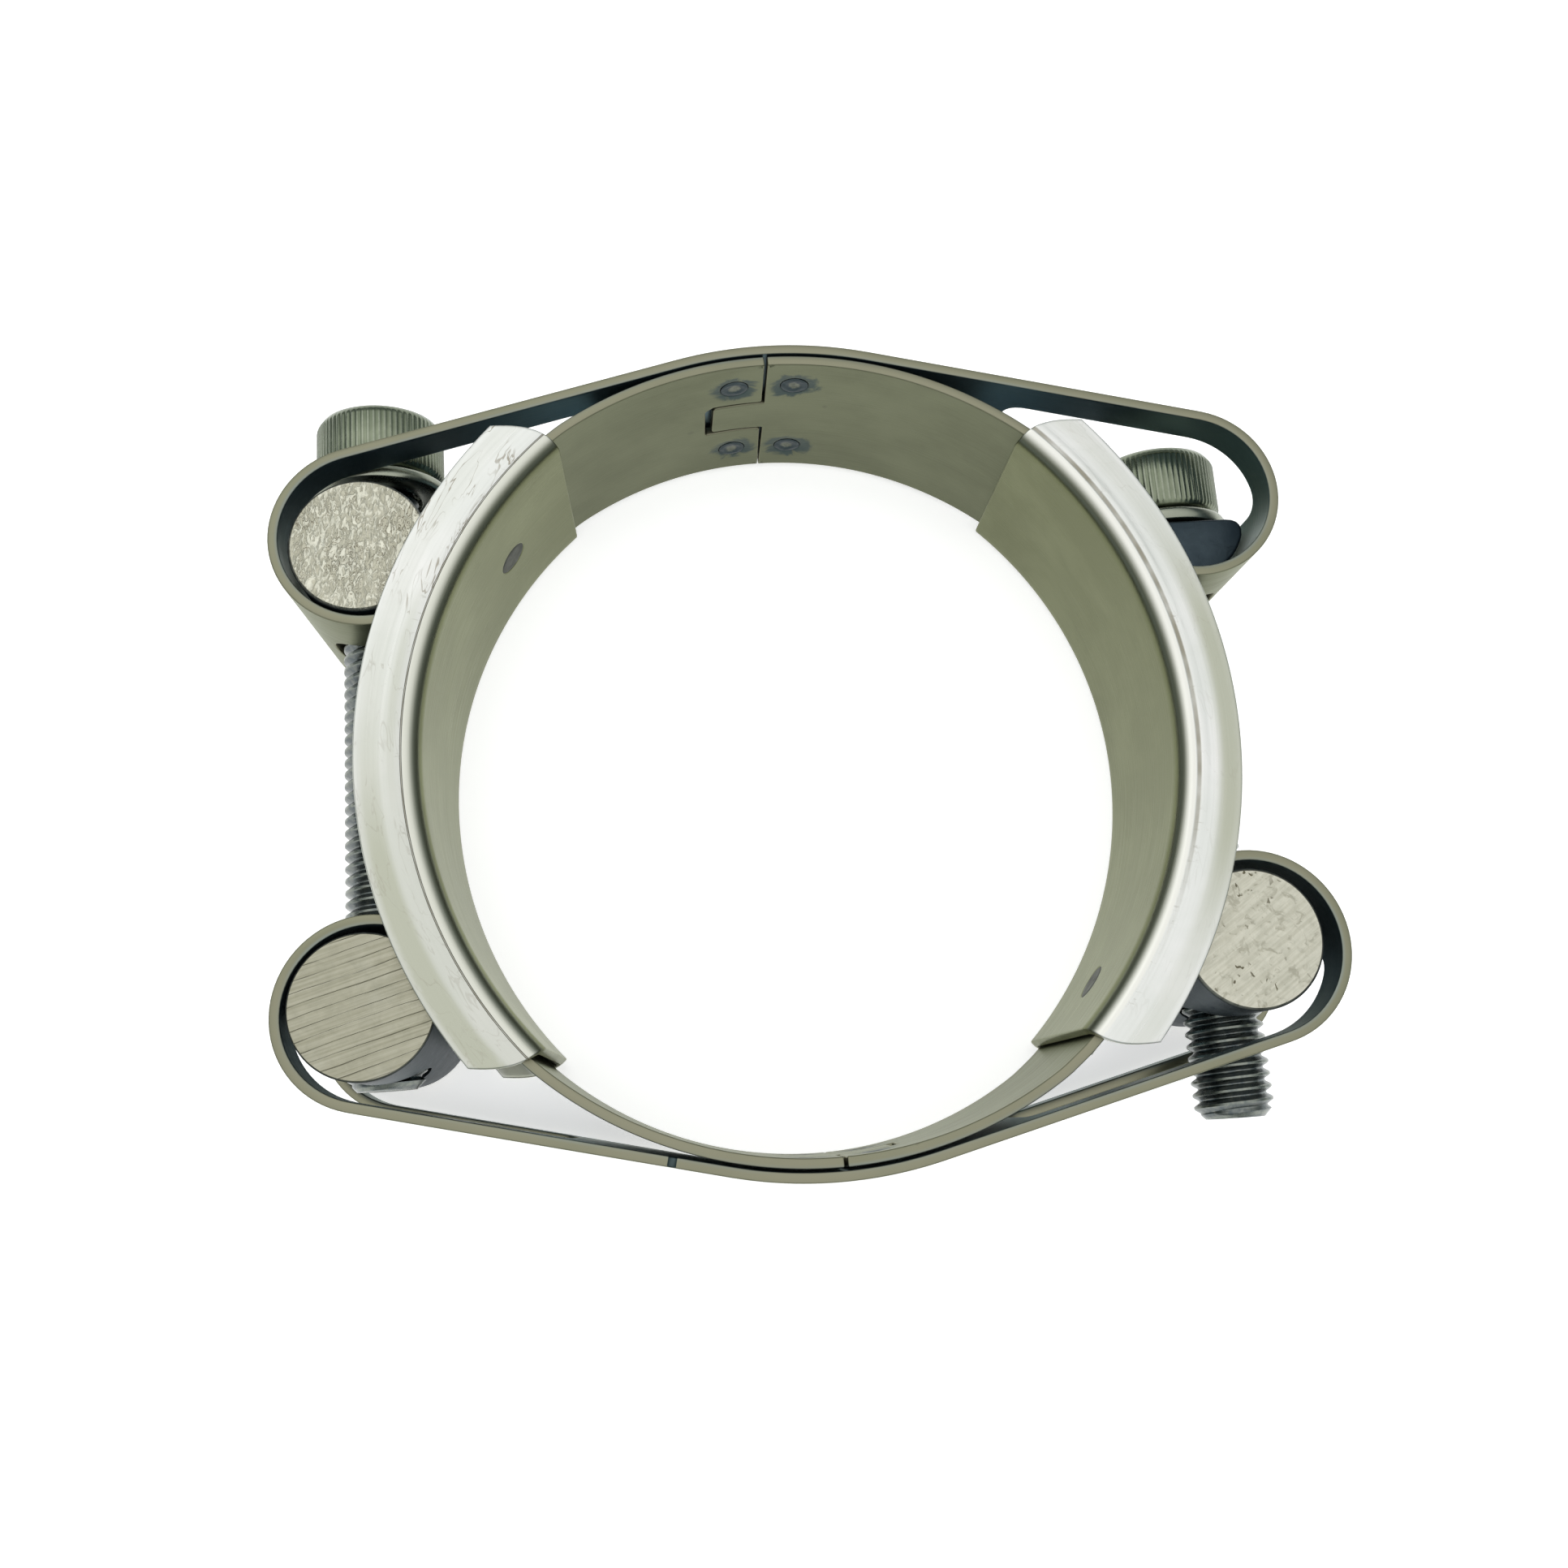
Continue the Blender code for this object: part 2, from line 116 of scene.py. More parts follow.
# Worked out from the dimensions above.
STRAP_Z = BRIDGE_SHEET + SIDE_GAP
TOTAL_WIDTH = BAND_WIDTH + 2 * STRAP_Z
MIDDLE_Z = TOTAL_WIDTH / 2
APEX_RADIUS = RING_RADIUS + 2 * SHEET + RUN_GAP
BRIDGE_BACK = BRIDGE_RADIUS + BRIDGE_SHEET
LINK = (LOWER_LEFT_BAR[0] - UPPER_LEFT_BAR[0], LOWER_LEFT_BAR[1] - UPPER_LEFT_BAR[1])
UPPER_RIGHT_SEAT = (LOWER_RIGHT_BAR[0] - LINK[0], LOWER_RIGHT_BAR[1] - LINK[1])
SCREW_TILT = atan2(LINK[0], -LINK[1])

# How finely the visible meshes are drawn.
STATION = 0.7
EDGE_ROUND = 0.13
EDGE_SUPPORT = 0.18
# Points round a weld or rivet, spacing and sinking of a bar end, and ridges of a knurl.
ROUND = 28
END_STEP = 0.22
END_SUNK = 0.06
KNURLS = 72

DRILL_LENGTH = 22
FLOOR_SIZE_M = 3.0
FLOOR_DROP_M = 0.00002

# Grazing reflections on the olive sheet.
OLIVE_EDGE = (0.90, 0.91, 0.82, 1.0)


# ---------------------------------------------------------------- plane geometry

def polar(radius, degrees_, centre=(0.0, 0.0)):
    angle = radians(degrees_)
    return (centre[0] + radius * cos(angle), centre[1] + radius * sin(angle))


def arc(centre, radius, start, end, step):
    count = max(2, round(abs(end - start) / step))
    return [polar(radius, start + (end - start) * i / count, centre) for i in range(count + 1)]


def angle_of(point, centre=(0.0, 0.0)):
    return degrees(atan2(point[1] - centre[1], point[0] - centre[0]))


def eye_centre(side):
    """Eye A is the one beside the fixed bridge end, eye B the one beside the free end."""
    if side == "A":
        return polar(BRIDGE_BACK + FIXED_GAP + EYE_A_RADIUS, EYE_A_ANGLE, BRIDGE_CENTRE)
    away = (-BRIDGE_CENTRE[0], -BRIDGE_CENTRE[1])
    return polar(BRIDGE_BACK + FREE_GAP + EYE_B_RADIUS, EYE_B_ANGLE, away)


def leg_start(radius, ring, centre, upward):
    """Angle at which a leg, an arc round a bridge's centre, leaves the ring."""
    away = hypot(*centre)
    swing = degrees(acos((ring ** 2 - away ** 2 - radius ** 2) / (2 * away * radius)))
    return angle_of(centre) + (swing if upward else -swing)


def outer_run_normal(eye, radius, turn):
    """Direction of the straight outer run's normal, between an eye and the apex."""
    swing = degrees(acos((APEX_RADIUS - radius) / hypot(*eye)))
    return angle_of(eye) + turn * swing


def strap_loop(inset):
    """Closed outline of the upper strap, inset from its pipe-side face."""
    ring = RING_RADIUS + inset
    left = BRIDGE_CENTRE
    right = (-left[0], -left[1])
    eye_a, eye_b = eye_centre("A"), eye_centre("B")
    leg_a = BRIDGE_BACK + FIXED_GAP + inset
    leg_b = BRIDGE_BACK + FREE_GAP + inset
    start_a = leg_start(leg_a, ring, left, True)
    start_b = leg_start(leg_b, ring, right, False)
    join_a = angle_of(polar(leg_a, start_a, left))
    join_b = angle_of(polar(leg_b, start_b, right))
    normal_a = outer_run_normal(eye_a, EYE_A_RADIUS, -1)
    normal_b = outer_run_normal(eye_b, EYE_B_RADIUS, 1)
    points = arc((0, 0), ring, join_b + 2, join_a - 2, 1)
    points += arc(left, leg_a, start_a + 2, EYE_A_ANGLE, 1)
    points += arc(eye_a, EYE_A_RADIUS - inset, EYE_A_ANGLE - 180, normal_a - 360, 3)[1:]
    points += arc((0, 0), APEX_RADIUS - inset, normal_a, normal_b, 1)
    points += arc(eye_b, EYE_B_RADIUS - inset, normal_b, EYE_B_ANGLE - 180, 3)
    points += arc(right, leg_b, EYE_B_ANGLE, start_b - 2 + 360, 1)[1:]
    return points


def norms(vectors):
    return np.hypot(*vectors.T)


def unit(vectors):
    return vectors / norms(vectors)[:, None]


def run_along(points):
    """Length run up to each point."""
    return np.concatenate([[0.0], np.cumsum(norms(points[1:] - points[:-1]))])


def looked_up(where, run, table):
    """Rows of a two-column table, interpolated at the lengths where."""
    return np.stack([np.interp(where, run, table[:, k]) for k in (0, 1)], 1)


def bell(x, middle, width, power=2):
    """1 at middle, falling off on both sides; a higher power gives a flatter top."""
    return np.exp(-((x - middle) / width) ** power)


def rising(x, middle, steepness):
    """0 well below middle and 1 well above it, or the other way round if negative."""
    return 1 / (1 + np.exp((middle - x) * steepness))


class Path:
    """A closed line in the plane, looked up by the length run along it."""

    def __init__(self, points, step, start):
        points = np.array(points)
        points = points[norms(points - np.roll(points, 1, 0)) > 1e-6]
        closed = np.vstack([points, points[:1]])
        run = run_along(closed)
        count = round(run[-1] / step)
        even = looked_up(np.arange(count) * run[-1] / count, run, closed)
        for _ in range(3):
            even = even / 2 + (np.roll(even, 1, 0) + np.roll(even, -1, 0)) / 4
        first = int(np.argmin(norms(even - np.array(start))))
        self.points = np.roll(even, -first, 0)
        self.closed = np.vstack([self.points, self.points[:1]])
        self.run = run_along(self.closed)
        self.length = float(self.run[-1])
        tangents = unit(np.roll(self.points, -1, 0) - np.roll(self.points, 1, 0))
        normals = np.stack([tangents[:, 1], -tangents[:, 0]], 1)
        self.closed_normals = np.vstack([normals, normals[:1]])

    def at(self, s, inset):
        """Points at lengths s, moved inset along the normal."""
        s = np.mod(s, self.length)
        normal = unit(looked_up(s, self.run, self.closed_normals))
        return looked_up(s, self.run, self.closed) + normal * np.asarray(inset)[:, None]

    def nearest(self, point):
        return float(self.run[int(np.argmin(norms(self.points - np.array(point))))])


# ---------------------------------------------------------------- flat patterns

def circle(centre, radius, count):
    return [(centre[0] + radius * cos(tau * i / count), centre[1] + radius * sin(tau * i / count))
            for i in range(count)]


def rounded(corners, radii, steps=5):
    """A closed outline through corners, each with its own radius."""
    out = []
    for i, (corner, radius) in enumerate(zip(corners, radii)):
        here = Vector(corner)
        before = Vector(corners[i - 1]) - here
        after = Vector(corners[(i + 1) % len(corners)]) - here
        half = before.angle(after) / 2
        reach = min(radius / np.tan(half), before.length * 0.45, after.length * 0.45)
        first, last = here + before.normalized() * reach, here + after.normalized() * reach
        for k in range(steps + 1):
            t = k / steps
            out.append(tuple((1 - t) ** 2 * first + 2 * t * (1 - t) * here + t * t * last))
    return out


def finely(outline, step):
    """The same closed outline with no side longer than step."""
    out = []
    for i, a in enumerate(outline):
        b = outline[(i + 1) % len(outline)]
        parts = max(1, int(np.ceil(hypot(b[0] - a[0], b[1] - a[1]) / step - 1e-6)))
        out += [(a[0] + (b[0] - a[0]) * k / parts, a[1] + (b[1] - a[1]) * k / parts)
                for k in range(parts)]
    kept = [out[0]]
    for p in out[1:]:
        if hypot(p[0] - kept[-1][0], p[1] - kept[-1][1]) > 0.02:
            kept.append(p)
    return kept


def area_of(outline):
    """Area, positive if the outline runs anticlockwise."""
    p = np.array(outline)
    q = np.roll(p, -1, 0)
    return float(np.sum(p[:, 0] * q[:, 1] - q[:, 0] * p[:, 1]) / 2)


def offset(outline, distance):
    """The outline moved to the left of its own direction."""
    p = np.array(outline)
    ahead, behind = unit(np.roll(p, -1, 0) - p), unit(p - np.roll(p, 1, 0))
    left_a, left_b = (np.stack([-side[:, 1], side[:, 0]], 1) for side in (ahead, behind))
    mid = left_a + left_b
    scale = np.maximum(np.sum(mid * left_a, 1), 0.5)
    return p + mid * (distance / scale)[:, None]


def inside(points, outline):
    """Which points lie inside a closed outline."""
    x, y = points[:, 0], points[:, 1]
    result = np.zeros(len(points), bool)
    p = np.array(outline)
    q = np.roll(p, -1, 0)
    for (x0, y0), (x1, y1) in zip(p, q):
        crosses = (y0 > y) != (y1 > y)
        if y1 != y0:
            result ^= crosses & (x < (x1 - x0) * (y - y0) / (y1 - y0) + x0)
    return result


def within(points, loops):
    """Which points lie inside the first outline and outside the others."""
    keep = inside(points, loops[0])
    for loop in loops[1:]:
        keep &= ~inside(points, loop)
    return keep


def triangulated(rims, grid):
    """Triangles over closed outlines and the points between them.

    Returns the points, the triangles, and the new number of each point that was given.
    """
    edges, base = [], 0
    for rim in rims:
        edges += [(base + i, base + (i + 1) % len(rim)) for i in range(len(rim))]
        base += len(rim)
    flat = [Vector(p) for p in np.vstack([*rims, grid])]
    found = delaunay_2d_cdt(flat, edges, [], 1, 1e-6)
    verts = np.array([tuple(v) for v in found[0]])
    faces = np.array([f for f in found[2] if len(f) == 3])
    return verts, faces, {old: new for new, given in enumerate(found[3]) for old in given}


def numbered(first, rows, columns):
    """Numbers of the points in successive rings."""
    return [range(first + r * columns, first + (r + 1) * columns) for r in range(rows)]


def ring_faces(rows):
    """Quads between each ring of point numbers and the next."""
    return [(a[i], b[i], b[(i + 1) % len(a)], a[(i + 1) % len(a)])
            for a, b in zip(rows, rows[1:]) for i in range(len(a))]


def capped(rings, last=None):
    """Faces from point 0 over rings of points to the last point, if there is one."""
    count = len(rings[0])
    faces = [(0, rings[0][c], rings[0][(c + 1) % count]) for c in range(count)]
    faces += ring_faces(rings)
    if last is not None:
        faces += [(rings[-1][c], rings[-1][(c + 1) % count], last) for c in range(count)]
    return faces


def new_mesh(name, where, faces):
    """A mesh from positions in millimetres."""
    data = bpy.data.meshes.new(name)
    data.from_pydata([tuple(p) for p in np.asarray(where) * MM], [], faces)
    return data


def write_layers(data, **layers):
    """Store one number a point under each name, for the materials to read."""
    for name, values in layers.items():
        layer = data.attributes.new(name, "FLOAT", "POINT")
        layer.data.foreach_set("value", np.asarray(values, np.float32))


def sheet_mesh(name, outer, holes, grid, thickness, bend):
    """A sheet cut to a flat pattern, its edges rounded, and then bent.

    outer and holes are closed outlines, grid the points inside, and bend turns arrays of
    (along, across, depth) into positions in millimetres.
    """
    loops = [outer if area_of(outer) > 0 else outer[::-1]]
    loops += [hole if area_of(hole) < 0 else hole[::-1] for hole in holes]
    border = EDGE_SUPPORT + EDGE_ROUND
    grid = np.array(grid)
    grid = grid[within(grid, [offset(loop, border + 0.2) for loop in loops])]
    rims = [offset(loop, border) for loop in loops]
    verts, faces, index = triangulated(rims, grid)
    faces = faces[within(verts[faces].mean(1), rims)]
    e, cut = EDGE_ROUND, EDGE_ROUND * 0.29
    steps = [(e, 0.0), (cut, cut), (0.0, e), (0.0, thickness - e), (cut, thickness - cut),
             (e, thickness)]
    count = len(verts)
    points = [np.column_stack([verts, np.full(count, depth)]) for depth in (0.0, thickness)]
    polys = [tuple(f[::-1]) for f in faces] + [tuple(f + count) for f in faces]
    total, base = 2 * count, 0
    for loop in loops:
        n = len(loop)
        rim = [index[base + i] for i in range(n)]
        for out, depth in steps:
            points.append(np.column_stack([offset(loop, out), np.full(n, depth)]))
        polys += ring_faces([rim, *numbered(total, len(steps), n), [i + count for i in rim]])
        total += n * len(steps)
        base += n
    points = np.vstack(points)
    data = new_mesh(name, bend(*points.T), [tuple(int(i) for i in p) for p in polys])
    layer = data.uv_layers.new(name="Sheet")
    corners = np.zeros(len(data.loops), int)
    data.loops.foreach_get("vertex_index", corners)
    layer.data.foreach_set("uv", (points[:, :2] * MM)[corners].ravel())
    write_layers(data, depth=points[:, 2] / thickness)
    return data, points


def new_object(name, data):
    item = bpy.data.objects.new(name, data)
    bpy.context.scene.collection.objects.link(item)
    return item


def new_piece(name, data, material, sharp=None):
    """An object from a mesh that is cleaned, faces outward and is smooth up to an angle."""
    mesh = bmesh.new()
    mesh.from_mesh(data)
    bmesh.ops.remove_doubles(mesh, verts=mesh.verts, dist=1e-7)
    bmesh.ops.dissolve_degenerate(mesh, edges=mesh.edges, dist=1e-8)
    bmesh.ops.recalc_face_normals(mesh, faces=mesh.faces)
    mesh.to_mesh(data)
    mesh.free()
    data.materials.append(material)
    smoothed(data, sharp)
    return new_object(name, data)


def smoothed(data, sharp):
    data.shade_smooth()
    if sharp is not None:
        data.set_sharp_from_angle(angle=radians(sharp))


def turned_half(where, half):
    """The lower half is the upper one turned half a turn about the pipe axis."""
    if half == "lower":
        where = where * np.array([-1.0, -1.0, 1.0])
    return where


def belong(piece, node, body):
    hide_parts(node)
    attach(piece, body)


# ---------------------------------------------------------------- shader helpers

class Shader:
    """One Principled material and the small set of nodes that these steels need."""

    def __init__(self, name, edge_tint=(1, 1, 1, 1)):
        self.material = bpy.data.materials.new(name)
        self.material.use_nodes = True
        self.tree = self.material.node_tree
        self.shader = self.tree.nodes["Principled BSDF"]
        self.shader.inputs["Metallic"].default_value = 1.0
        self.shader.inputs["Specular Tint"].default_value = edge_tint
        self.coords = self.tree.nodes.new("ShaderNodeTexCoord")
        self.normal = None

    def put(self, socket, value):
        if hasattr(value, "links"):
            self.tree.links.new(value, socket)
        elif isinstance(value, tuple) and socket.type == "RGBA":
            socket.default_value = (*value, 1.0)[:4]
        else:
            socket.default_value = value

    def node(self, kind, output, inputs, **settings):
        """One output of a new node with these inputs and settings."""
        node = self.tree.nodes.new("ShaderNode" + kind)
        for key, value in settings.items():
            setattr(node, key, value)
        for key, value in inputs.items():
            self.put(node.inputs[key], value)
        return node.outputs[output]

    def stretched(self, scale, turn=0.0, source="Object"):
        """Coordinates for k features a metre, their first axis turned anticlockwise."""
        return self.node("Mapping", "Vector", {
            "Vector": self.coords.outputs[source], "Scale": tuple(1 / k for k in scale),
            "Rotation": (0, 0, turn)}, vector_type="TEXTURE")

    def noise(self, scale, detail, rough, distortion=0.0, turn=0.0, source="Object"):
        """Noise with a number of features a metre, along each axis or along all."""
        scale = scale if isinstance(scale, tuple) else (scale,) * 3
        return self.node("TexNoise", "Fac", {
            "Vector": self.stretched(scale, turn, source), "Scale": 1.0, "Detail": detail,
            "Roughness": rough, "Distortion": distortion})

    def rolled(self, along, across, detail, rough, distortion=0.0, turn=0.0):
        """Noise that follows the sheet through its bends."""
        return self.noise((along, across, 1), detail, rough, distortion, turn, "UV")

    def cells(self, scale):
        """Distance to the nearest of scattered points."""
        return self.node("TexVoronoi", "Distance",
                         {"Vector": self.stretched((scale,) * 3), "Scale": 1.0})

    def remap(self, value, low, high, to_low=0.0, to_high=1.0, kind="SMOOTHSTEP"):
        return self.node("MapRange", "Result", {
            "Value": value, "From Min": low, "From Max": high, "To Min": to_low,
            "To Max": to_high}, interpolation_type=kind)

    def math(self, operation, a, b=0.0):
        return self.node("Math", "Value", {0: a, 1: b}, operation=operation)

    def times(self, a, b):
        return self.math("MULTIPLY", a, b)

    def away(self, value, middle):
        return self.math("ABSOLUTE", self.math("SUBTRACT", value, middle))

    def mix(self, factor, a, b):
        return self.node("Mix", "Result", {"Factor": factor, "A": a, "B": b}, data_type="RGBA")

    def over(self, value, low, high, a, b, most=1.0):
        """a where value is below low, turning to b, by most at most, above high."""
        return self.mix(self.remap(value, low, high, 0.0, most), a, b)

    def crack(self, value, width):
        """1 along the thin contour where a noise value crosses one half."""
        return self.remap(self.away(value, 0.5), width * 0.3, width, 1.0, 0.0)

    def attribute(self, name):
        return self.node("Attribute", "Fac", {}, attribute_name=name)

    def bump(self, height, depth_m, strength=1.0):
        inputs = {"Strength": strength, "Distance": depth_m, "Height": height}
        if self.normal is not None:
            inputs["Normal"] = self.normal
        self.normal = self.node("Bump", "Normal", inputs)

    def finish(self, colour, value, low, high, gloss, dull):
        """The material, its roughness running from gloss to dull with value."""
        rough = self.remap(value, low, high, gloss, dull, "LINEAR")
        for key, source in (("Base Color", colour), ("Roughness", rough), ("Normal", self.normal)):
            self.tree.links.new(source, self.shader.inputs[key])
        return self.material


def strap_material():
    """Dull rolled strip: olive pipe side, blue-grey painted shade inside the loop, brighter
    sheared edges.
    """
    s = Shader("strap_steel", OLIVE_EDGE)
    broad = s.noise((55, 55, 90), 4, 0.6)
    streak = s.rolled(60, 2600, 3, 0.6)
    olive = s.over(broad, 0.35, 0.68, (0.101, 0.110, 0.068), (0.137, 0.148, 0.094))
    olive = s.over(streak, 0.3, 0.75, olive, (0.172, 0.180, 0.124), 0.35)
    # dull is the blue-grey for the face inside the loop: painted shade of the loop's deep inside.
    dull = s.over(broad, 0.3, 0.7, (0.114, 0.178, 0.216), (0.156, 0.214, 0.238))
    colour = s.over(s.attribute("depth"), 0.55, 0.95, olive, dull)
    rim = s.times(s.attribute("rim"), s.remap(streak, 0.2, 0.7, 0.55, 1.0))
    colour = s.mix(rim, colour, (0.210, 0.205, 0.146))
    specks = s.times(s.remap(s.cells(230), 0.05, 0.11, 0.75, 0.0), s.remap(broad, 0.5, 0.62))
    colour = s.mix(specks, colour, (0.06, 0.065, 0.05))
    stain = s.times(s.noise(300, 4, 0.62, 1.4), 1.5)
    # burnt also carries painted shade in the punched notch, besides the real heat tint round the
    # welds.
    burnt = s.remap(s.math("ADD", s.attribute("scorch"), stain), 1.20, 1.55)
    colour = s.mix(s.times(burnt, 0.9), colour, (0.031, 0.050, 0.058))
    s.bump(streak, 0.000012)
    s.bump(s.rolled(500, 9000, 2, 0.5), 0.000004)
    s.bump(broad, 0.00006, 0.5)
    return s.finish(colour, streak, 0.2, 0.8, 0.30, 0.46)


def bridge_material(side):
    """Channel steel: satin flanges with scuffs, a crease along the fold, a dull olive web.
    Painted on top: grey painted shade over the flange's middle, a thin painted shade line along
    the crease, a painted highlight on the fold and painted shade where the fold meets the web.

    section counts centimetres from the flange's rim, round the fold and into the web.
    """
    s = Shader("bridge_steel_" + side, OLIVE_EDGE)
    # bright is a painted highlight on the fold and turned is painted shade where the fold meets
    # the web; shade colours the painted shade line along the crease.
    if side == "left":
        pale, bright, turned = 0.535, (0.49, 0.495, 0.44), (0.190, 0.205, 0.160)
        place, width, shade, ditch = 0.456, 0.010, (0.205, 0.190, 0.150), 0.00008
    else:
        pale, bright, turned = 0.565, (0.60, 0.60, 0.56), (0.270, 0.285, 0.225)
        place, width, shade, ditch = 0.436, 0.030, (0.185, 0.172, 0.130), 0.00004
    section = s.attribute("section")
    broad = s.noise(70, 4, 0.6, 0.4)
    streak = s.rolled(45, 3200, 4, 0.62)
    web = s.over(broad, 0.34, 0.7, (0.122, 0.132, 0.071), (0.162, 0.174, 0.100))
    web = s.over(streak, 0.35, 0.8, web, (0.180, 0.190, 0.124), 0.25)
    flange = s.over(broad, 0.35, 0.7, (pale * 0.96, pale * 0.98, pale * 0.94),
                    (pale * 1.07, pale * 1.07, pale * 1.05))
    flange = s.over(streak, 0.45, 0.85, flange, (0.43, 0.445, 0.41), 0.25)
    # Grey-green over the middle of the flange, darker on the left towards the end away from the
    # screw heads: painted shade.
    flange = s.mix(s.attribute("flange_shade"), flange, (0.345, 0.355, 0.290))
    patch = s.remap(s.rolled(120, 260, 2, 0.5, 0.0, 0.4), 0.40, 0.54)
    cracks = s.times(s.crack(s.rolled(150, 620, 3, 0.55, 0.7, 0.12), 0.016), patch)
    scuffs = s.times(cracks, s.times(s.attribute("scuffed"), 0.9))
    flange = s.mix(scuffs, flange, (0.22, 0.20, 0.16))
    nick = s.remap(s.rolled(2300, 620, 3, 0.6, 0.0, 0.15), 0.60, 0.70)
    nicks = s.times(s.times(nick, s.remap(section, 0.33, 0.42)), patch)
    flange = s.mix(s.times(nicks, 0.45), flange, (0.30, 0.30, 0.26))
    # The fold goes from a painted highlight beside the flange to painted shade towards the web.
    fold = s.over(section, 0.490, 0.570, bright, (0.155, 0.160, 0.118))
    colour = s.over(section, 0.455, 0.475, flange, fold)
    # A thin dark line along the crease in the flange: painted shade.
    line = s.times(s.remap(s.away(section, place), width * 0.35, width, 1.0, 0.0),
                   s.attribute("crease_shade"))
    broken = s.remap(s.rolled(210, 10, 2, 0.5), 0.3, 0.6, 0.45, 0.95)
    colour = s.mix(s.times(line, broken), colour, shade)
    # A dark band where the fold meets the web: painted shade.
    colour = s.over(section, 0.565, 0.605, colour, turned)
    colour = s.over(section, 0.582, 0.622, colour, web)
    s.bump(streak, 0.000012)
    s.bump(s.times(line, -1.0), ditch)
    s.bump(broad, 0.00010, 0.5)
    return s.finish(colour, streak, 0.2, 0.8, 0.24, 0.38)


def sawn_material(kind):
    """Cut bar ends: mottled, ridged by a coarse saw, or scratched and pitted."""
    s = Shader("bar_" + kind)
    end = s.attribute("end")
    grain = s.noise(900, 4, 0.65, 0.6)
    broad = s.noise(160, 3, 0.6)
    # Dark blue-grey on the bar's side: painted shade of the eye it sits in.
    side = s.over(grain, 0.35, 0.7, (0.040, 0.055, 0.066), (0.078, 0.094, 0.100))
    if kind == "mottled":
        worm = s.noise((2100, 900, 900), 3, 0.55, 1.6)
        face = s.over(worm, 0.40, 0.62, (0.435, 0.422, 0.338), (0.610, 0.600, 0.510))
        face = s.over(broad, 0.52, 0.72, face, (0.68, 0.68, 0.61), 0.5)
        bitten = s.remap(s.noise((260, 200, 200), 2, 0.5), 0.40, 0.58, 0.25, 0.95)
        face = s.mix(s.times(s.crack(worm, 0.035), bitten), face, (0.155, 0.140, 0.100))
        s.bump(s.times(worm, end), 0.00020)
        dull = 0.62
    elif kind == "ridged":
        turn = 0.35
        lines = s.noise((60, 3400, 1), 3, 0.6, turn=turn)
        face = s.over(lines, 0.3, 0.7, (0.270, 0.262, 0.195), (0.350, 0.340, 0.268))
        face = s.over(broad, 0.5, 0.8, face, (0.38, 0.375, 0.31), 0.5)
        sway = s.noise((130, 300, 1), 2, 0.5, turn=turn)
        row = s.node("SeparateXYZ", "Y", {"Vector": s.stretched((1, 900, 1), turn)})
        wave = s.math("FRACT", s.math("ADD", row, s.times(sway, 0.5)))
        width = s.remap(sway, 0.35, 0.65, 0.022, 0.046)
        uneven = s.remap(s.noise((230, 900, 1), 2, 0.5, turn=turn), 0.32, 0.55, 0.10, 0.8)
        groove = s.times(s.math("LESS_THAN", s.away(wave, 0.5), width), uneven)
        groove = s.times(groove, end)
        face = s.mix(groove, face, (0.070, 0.066, 0.045))
        s.bump(s.times(lines, end), 0.00002)
        s.bump(groove, -0.00006)
        dull = 0.58
    else:
        lines = s.noise((170, 2300, 1), 3, 0.62, turn=0.66)
        face = s.over(lines, 0.36, 0.62, (0.430, 0.420, 0.348), (0.500, 0.490, 0.415))
        lumps = s.noise(800, 3, 0.6, 1.0)
        face = s.over(lumps, 0.54, 0.68, face, (0.31, 0.30, 0.24), 0.8)
        pits = s.remap(s.noise((1250, 900, 900), 2, 0.5, 0.6, 0.5), 0.650, 0.705)
        pits = s.times(pits, s.remap(broad, 0.40, 0.55, 0.15, 1.0))
        face = s.mix(pits, face, (0.12, 0.11, 0.075))
        s.bump(s.times(lines, end), 0.00004)
        s.bump(s.times(lumps, end), 0.00005)
        dull = 0.60
    s.bump(grain, 0.00002)
    return s.finish(s.mix(end, side, face), grain, 0.25, 0.75, 0.42, dull)


def screw_material():
    """Plated screw: grey-green head, darker thread."""
    s = Shader("screw_steel")
    broad = s.noise(260, 4, 0.6)
    fine = s.noise(1500, 3, 0.6)
    head = s.over(broad, 0.35, 0.7, (0.118, 0.138, 0.096), (0.176, 0.198, 0.142))
    rod = s.over(fine, 0.3, 0.7, (0.085, 0.100, 0.105), (0.155, 0.165, 0.155))
    colour = s.mix(s.attribute("thread"), head, rod)
    worn = s.times(s.attribute("worn"), s.remap(fine, 0.2, 0.6, 0.2, 0.6))
    colour = s.mix(worn, colour, (0.28, 0.30, 0.245))
    s.bump(fine, 0.00002, 0.35)
    return s.finish(colour, broad, 0.25, 0.75, 0.20, 0.32)


def weld_material():
    """A pale dished middle inside a ring burnt blue."""
    s = Shader("weld_metal")
    fine = s.noise(900, 4, 0.62, 0.8)
    clean = s.over(fine, 0.35, 0.65, (0.095, 0.105, 0.082), (0.170, 0.180, 0.145))
    stain = s.times(s.noise(300, 4, 0.62, 1.4), 1.4)
    burnt = s.remap(s.math("ADD", s.attribute("burnt"), stain), 0.90, 1.40)
    colour = s.mix(s.times(burnt, 0.92), clean, (0.022, 0.037, 0.045))
    s.bump(fine, 0.00005)
    return s.finish(colour, fine, 0.25, 0.75, 0.34, 0.55)


def plain_material(name, low, high, rough, grain, depth_m):
    s = Shader(name)
    fine = s.noise(grain, 4, 0.62, 0.5)
    colour = s.over(s.noise(grain / 5, 3, 0.6), 0.3, 0.7, low, high)
    colour = s.over(fine, 0.58, 0.75, colour, tuple(c * 0.55 for c in low), 0.6)
    s.bump(fine, depth_m)
    return s.finish(colour, fine, 0.25, 0.75, *rough)


